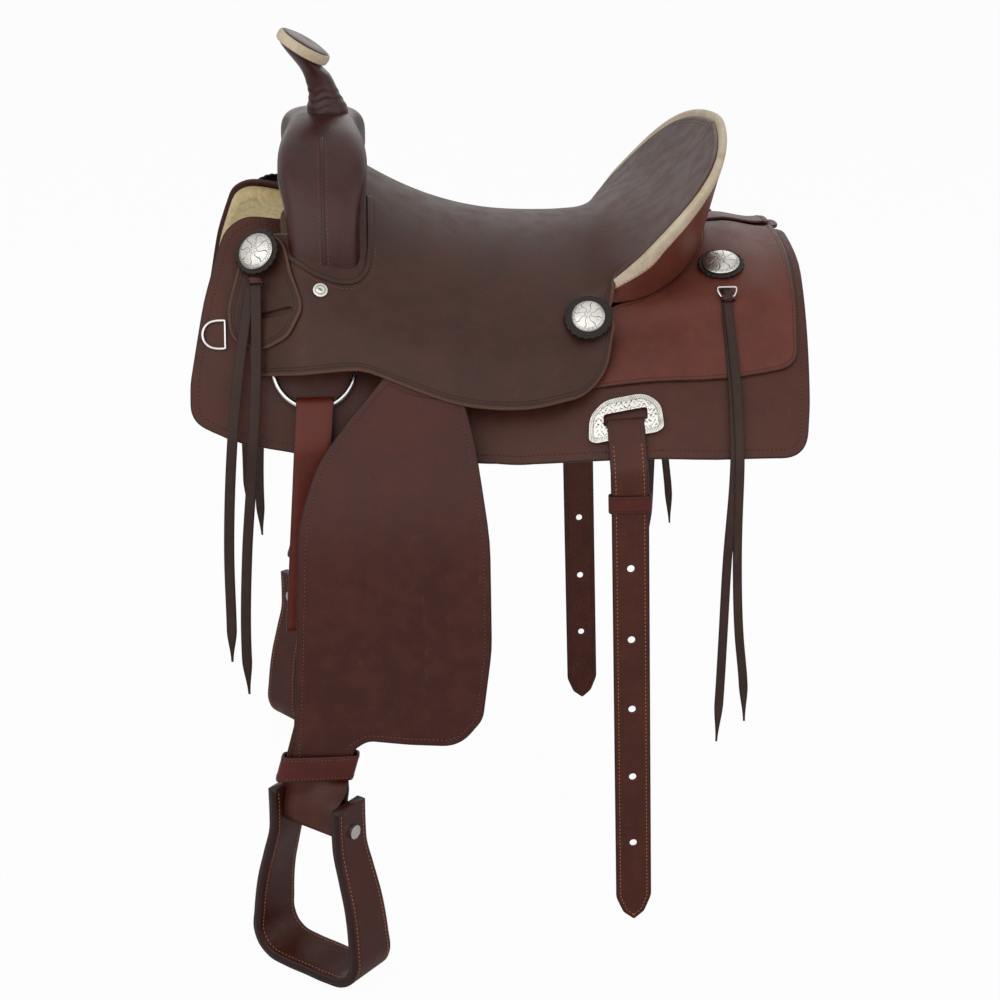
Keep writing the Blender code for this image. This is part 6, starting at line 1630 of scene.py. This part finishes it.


# Saddle strings, each tail its own strap
strings = {
    'frontLine': [(0.0, 0.1563, 0.0355), (0.0076, 0.1607, 0.0292), (0.0457, 0.1804, -0.0034),
                  (0.0839, 0.1975, -0.0375), (0.1220, 0.2119, -0.0728), (0.1601, 0.2235, -0.1091),
                  (0.1721, 0.2263, -0.1208), (0.1901, 0.2285, -0.1386), (0.2081, 0.2296, -0.1566),
                  (0.2261, 0.2302, -0.1746), (0.2441, 0.2304, -0.1926), (0.2981, 0.2304, -0.2465),
                  (0.4961, 0.2304, -0.4445)],
    'rearLine': [(0.0, 0.1514, 0.0128), (0.0399, 0.1789, -0.0161), (0.0780, 0.2087, -0.0398),
                 (0.1161, 0.2355, -0.0669), (0.1541, 0.2590, -0.0968), (0.1922, 0.2789, -0.1293),
                 (0.1987, 0.2816, -0.1352), (0.2167, 0.2858, -0.1527), (0.2347, 0.2880, -0.1706),
                 (0.2527, 0.2890, -0.1886), (0.2707, 0.2896, -0.2066), (0.3634, 0.2896, -0.2992),
                 (0.5814, 0.2896, -0.5172)],
    'frontTails': ([(0.0, -0.2710), (0.10, -0.2730), (0.20, -0.2800), (0.30, -0.2895),
                    (0.42, -0.2950), (0.468, -0.2940)],
                   [(0.0, -0.2735), (0.030, -0.2800), (0.10, -0.2915), (0.20, -0.3025),
                    (0.30, -0.3088), (0.39, -0.3100), (0.428, -0.3110)]),
    'rearTails': ([(0.0, 0.2350), (0.12, 0.2348), (0.30, 0.2335), (0.40, 0.2395),
                   (0.455, 0.2460), (0.503, 0.2490)],
                  [(0.0, 0.2335), (0.12, 0.2312), (0.22, 0.2275), (0.30, 0.2235),
                   (0.40, 0.2218), (0.45, 0.2210), (0.527, 0.2190)]),
    'width': {'front': 0.0112, 'rear': 0.0100}, 'tip': 0.24, 'tipFrom': 0.91, 'thick': 0.0020,
    'crossing': 0.0024, 'over': {'front': 0.09, 'rear': 0.34},
}


# A turn of lace round both tails; at the rear a small dee lies over it, level with the skin.
def stringKnot(side, word, place, start, run, wide):
    down = np.array([0.0, run[0], run[1]])
    out = np.array([0.0, -run[1], run[0]])
    along = np.array([1.0, 0.0, 0.0])
    low = 0.0035 if place == 'front' else 0.0125
    half = wide / 2 + 0.0018
    corners = [start + down * low + along * a * half + out * b
               for a, b in ((-1, -0.0012), (1, -0.0012), (1.1, 0.0022), (0.6, 0.0054),
                            (-0.6, 0.0054), (-1.1, 0.0022))]
    loopPiece('%sKnot_%s' % (place, word), np.array(corners), down * 0.0034 + along * 0.0014,
              0.0016, leatherLook('hobble'), 'saddle', '%s_strings_%s' % (place, word), side)
    if place == 'rear':
        ring = np.array([(-0.0105, 0.0), (0.0105, 0.0), (0.0100, 0.0050), (0.0070, 0.0115),
                         (-0.0070, 0.0115), (-0.0100, 0.0050)])
        line = start + ring[:, :1] * along + ring[:, 1:] * down + out * 0.0030
        fold = [start + down * t + out * h
                for t, h in ((0.0005, 0.0010), (0.0050, 0.0026), (0.0095, 0.0052), (0.0125, 0.0050),
                             (0.0170, 0.0034))]
        surface = strapSurface(np.array(fold), np.tile(along * 0.0042, (5, 1)), per=6)
        strapPiece('rearLoop_' + word, surface, 0.0018, leatherLook('string'), 'saddle',
                   ('rear_strings_' + word,), side)
        roundWire('rearDee_' + word, softened(densify(line, 0.0012), 3), 0.0011, chromeLook(),
                  'saddle', ('rear_strings_' + word,), side)


# Full width to tipFrom of the length, then down to the tip's share of it.
def stringTaper(t):
    return mix(1.0, strings['tip'], smooth(strings['tipFrom'], 1.0, t))


# Each tail runs down its line's table: y and z at the length s, x from the tail's own pairs.
def buildStrings(side, word):
    for place in ('front', 'rear'):
        table = np.array(strings[place + 'Line'])
        for k, tail in enumerate(strings[place + 'Tails']):
            tail = np.array(tail)
            s = np.linspace(tail[0, 0], tail[-1, 0], 36)
            x = curveThrough(np.hstack([tail, 0 * tail[:, :1]]), 8)
            x = np.interp(s, x[:, 0], x[:, 1])
            run = unit(np.gradient(table[:, 1:], table[:, 0], axis=0))
            lift = strings['thick'] / 2 + 0.0001
            away = smooth(0.35, 1.0, table[:, 0] / strings['over'][place])
            lift = lift + (1 - k) * strings['crossing'] * (1 - away)
            y = np.interp(s, table[:, 0], table[:, 1] - run[:, 1] * lift)
            z = np.interp(s, table[:, 0], table[:, 2] + run[:, 0] * lift)
            line = np.stack([x, y, z], axis=1)
            wide = strings['width'][place]
            surface = strapSurface(line, np.tile([wide / 2, 0, 0], (36, 1)), 1.0, per=3)
            made = strapPiece('%sString_%s_%d' % (place, word, k), surface, strings['thick'],
                              leatherLook('string'), 'saddle', ('%s_strings_%s' % (place, word),),
                              side, spacing=0.003, taper=stringTaper)
            if k == 0:
                stringKnot(side, word, place, line[0], run[0], wide)


# Looks of the nodes that stay as they are.
def dressTree():
    looks = {'bar_left': woodLook(), 'bar_right': woodLook(), 'fork': leatherLook('swell'),
             'cantle_board': woodLook(), 'ground_seat': leatherLook('strap'),
             'horn': metalLook('horn_iron', (0.34, 0.33, 0.33), (0.16, 0.14, 0.13), 0.45),
             'stirrup_bolt_left': chromeLook(), 'stirrup_bolt_right': chromeLook()}
    for name, look in looks.items():
        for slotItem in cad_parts[name].material_slots:
            slotItem.material = look


for sideSign, word, mark in sides:
    buildLeg(sideSign, word, mark)
    buildRigging(sideSign, word, mark)
    buildCollar(sideSign, word)
    buildOrnaments(sideSign, word)
    buildStrings(sideSign, word)
dressTree()
print('saddle: straps, metal and strings made')
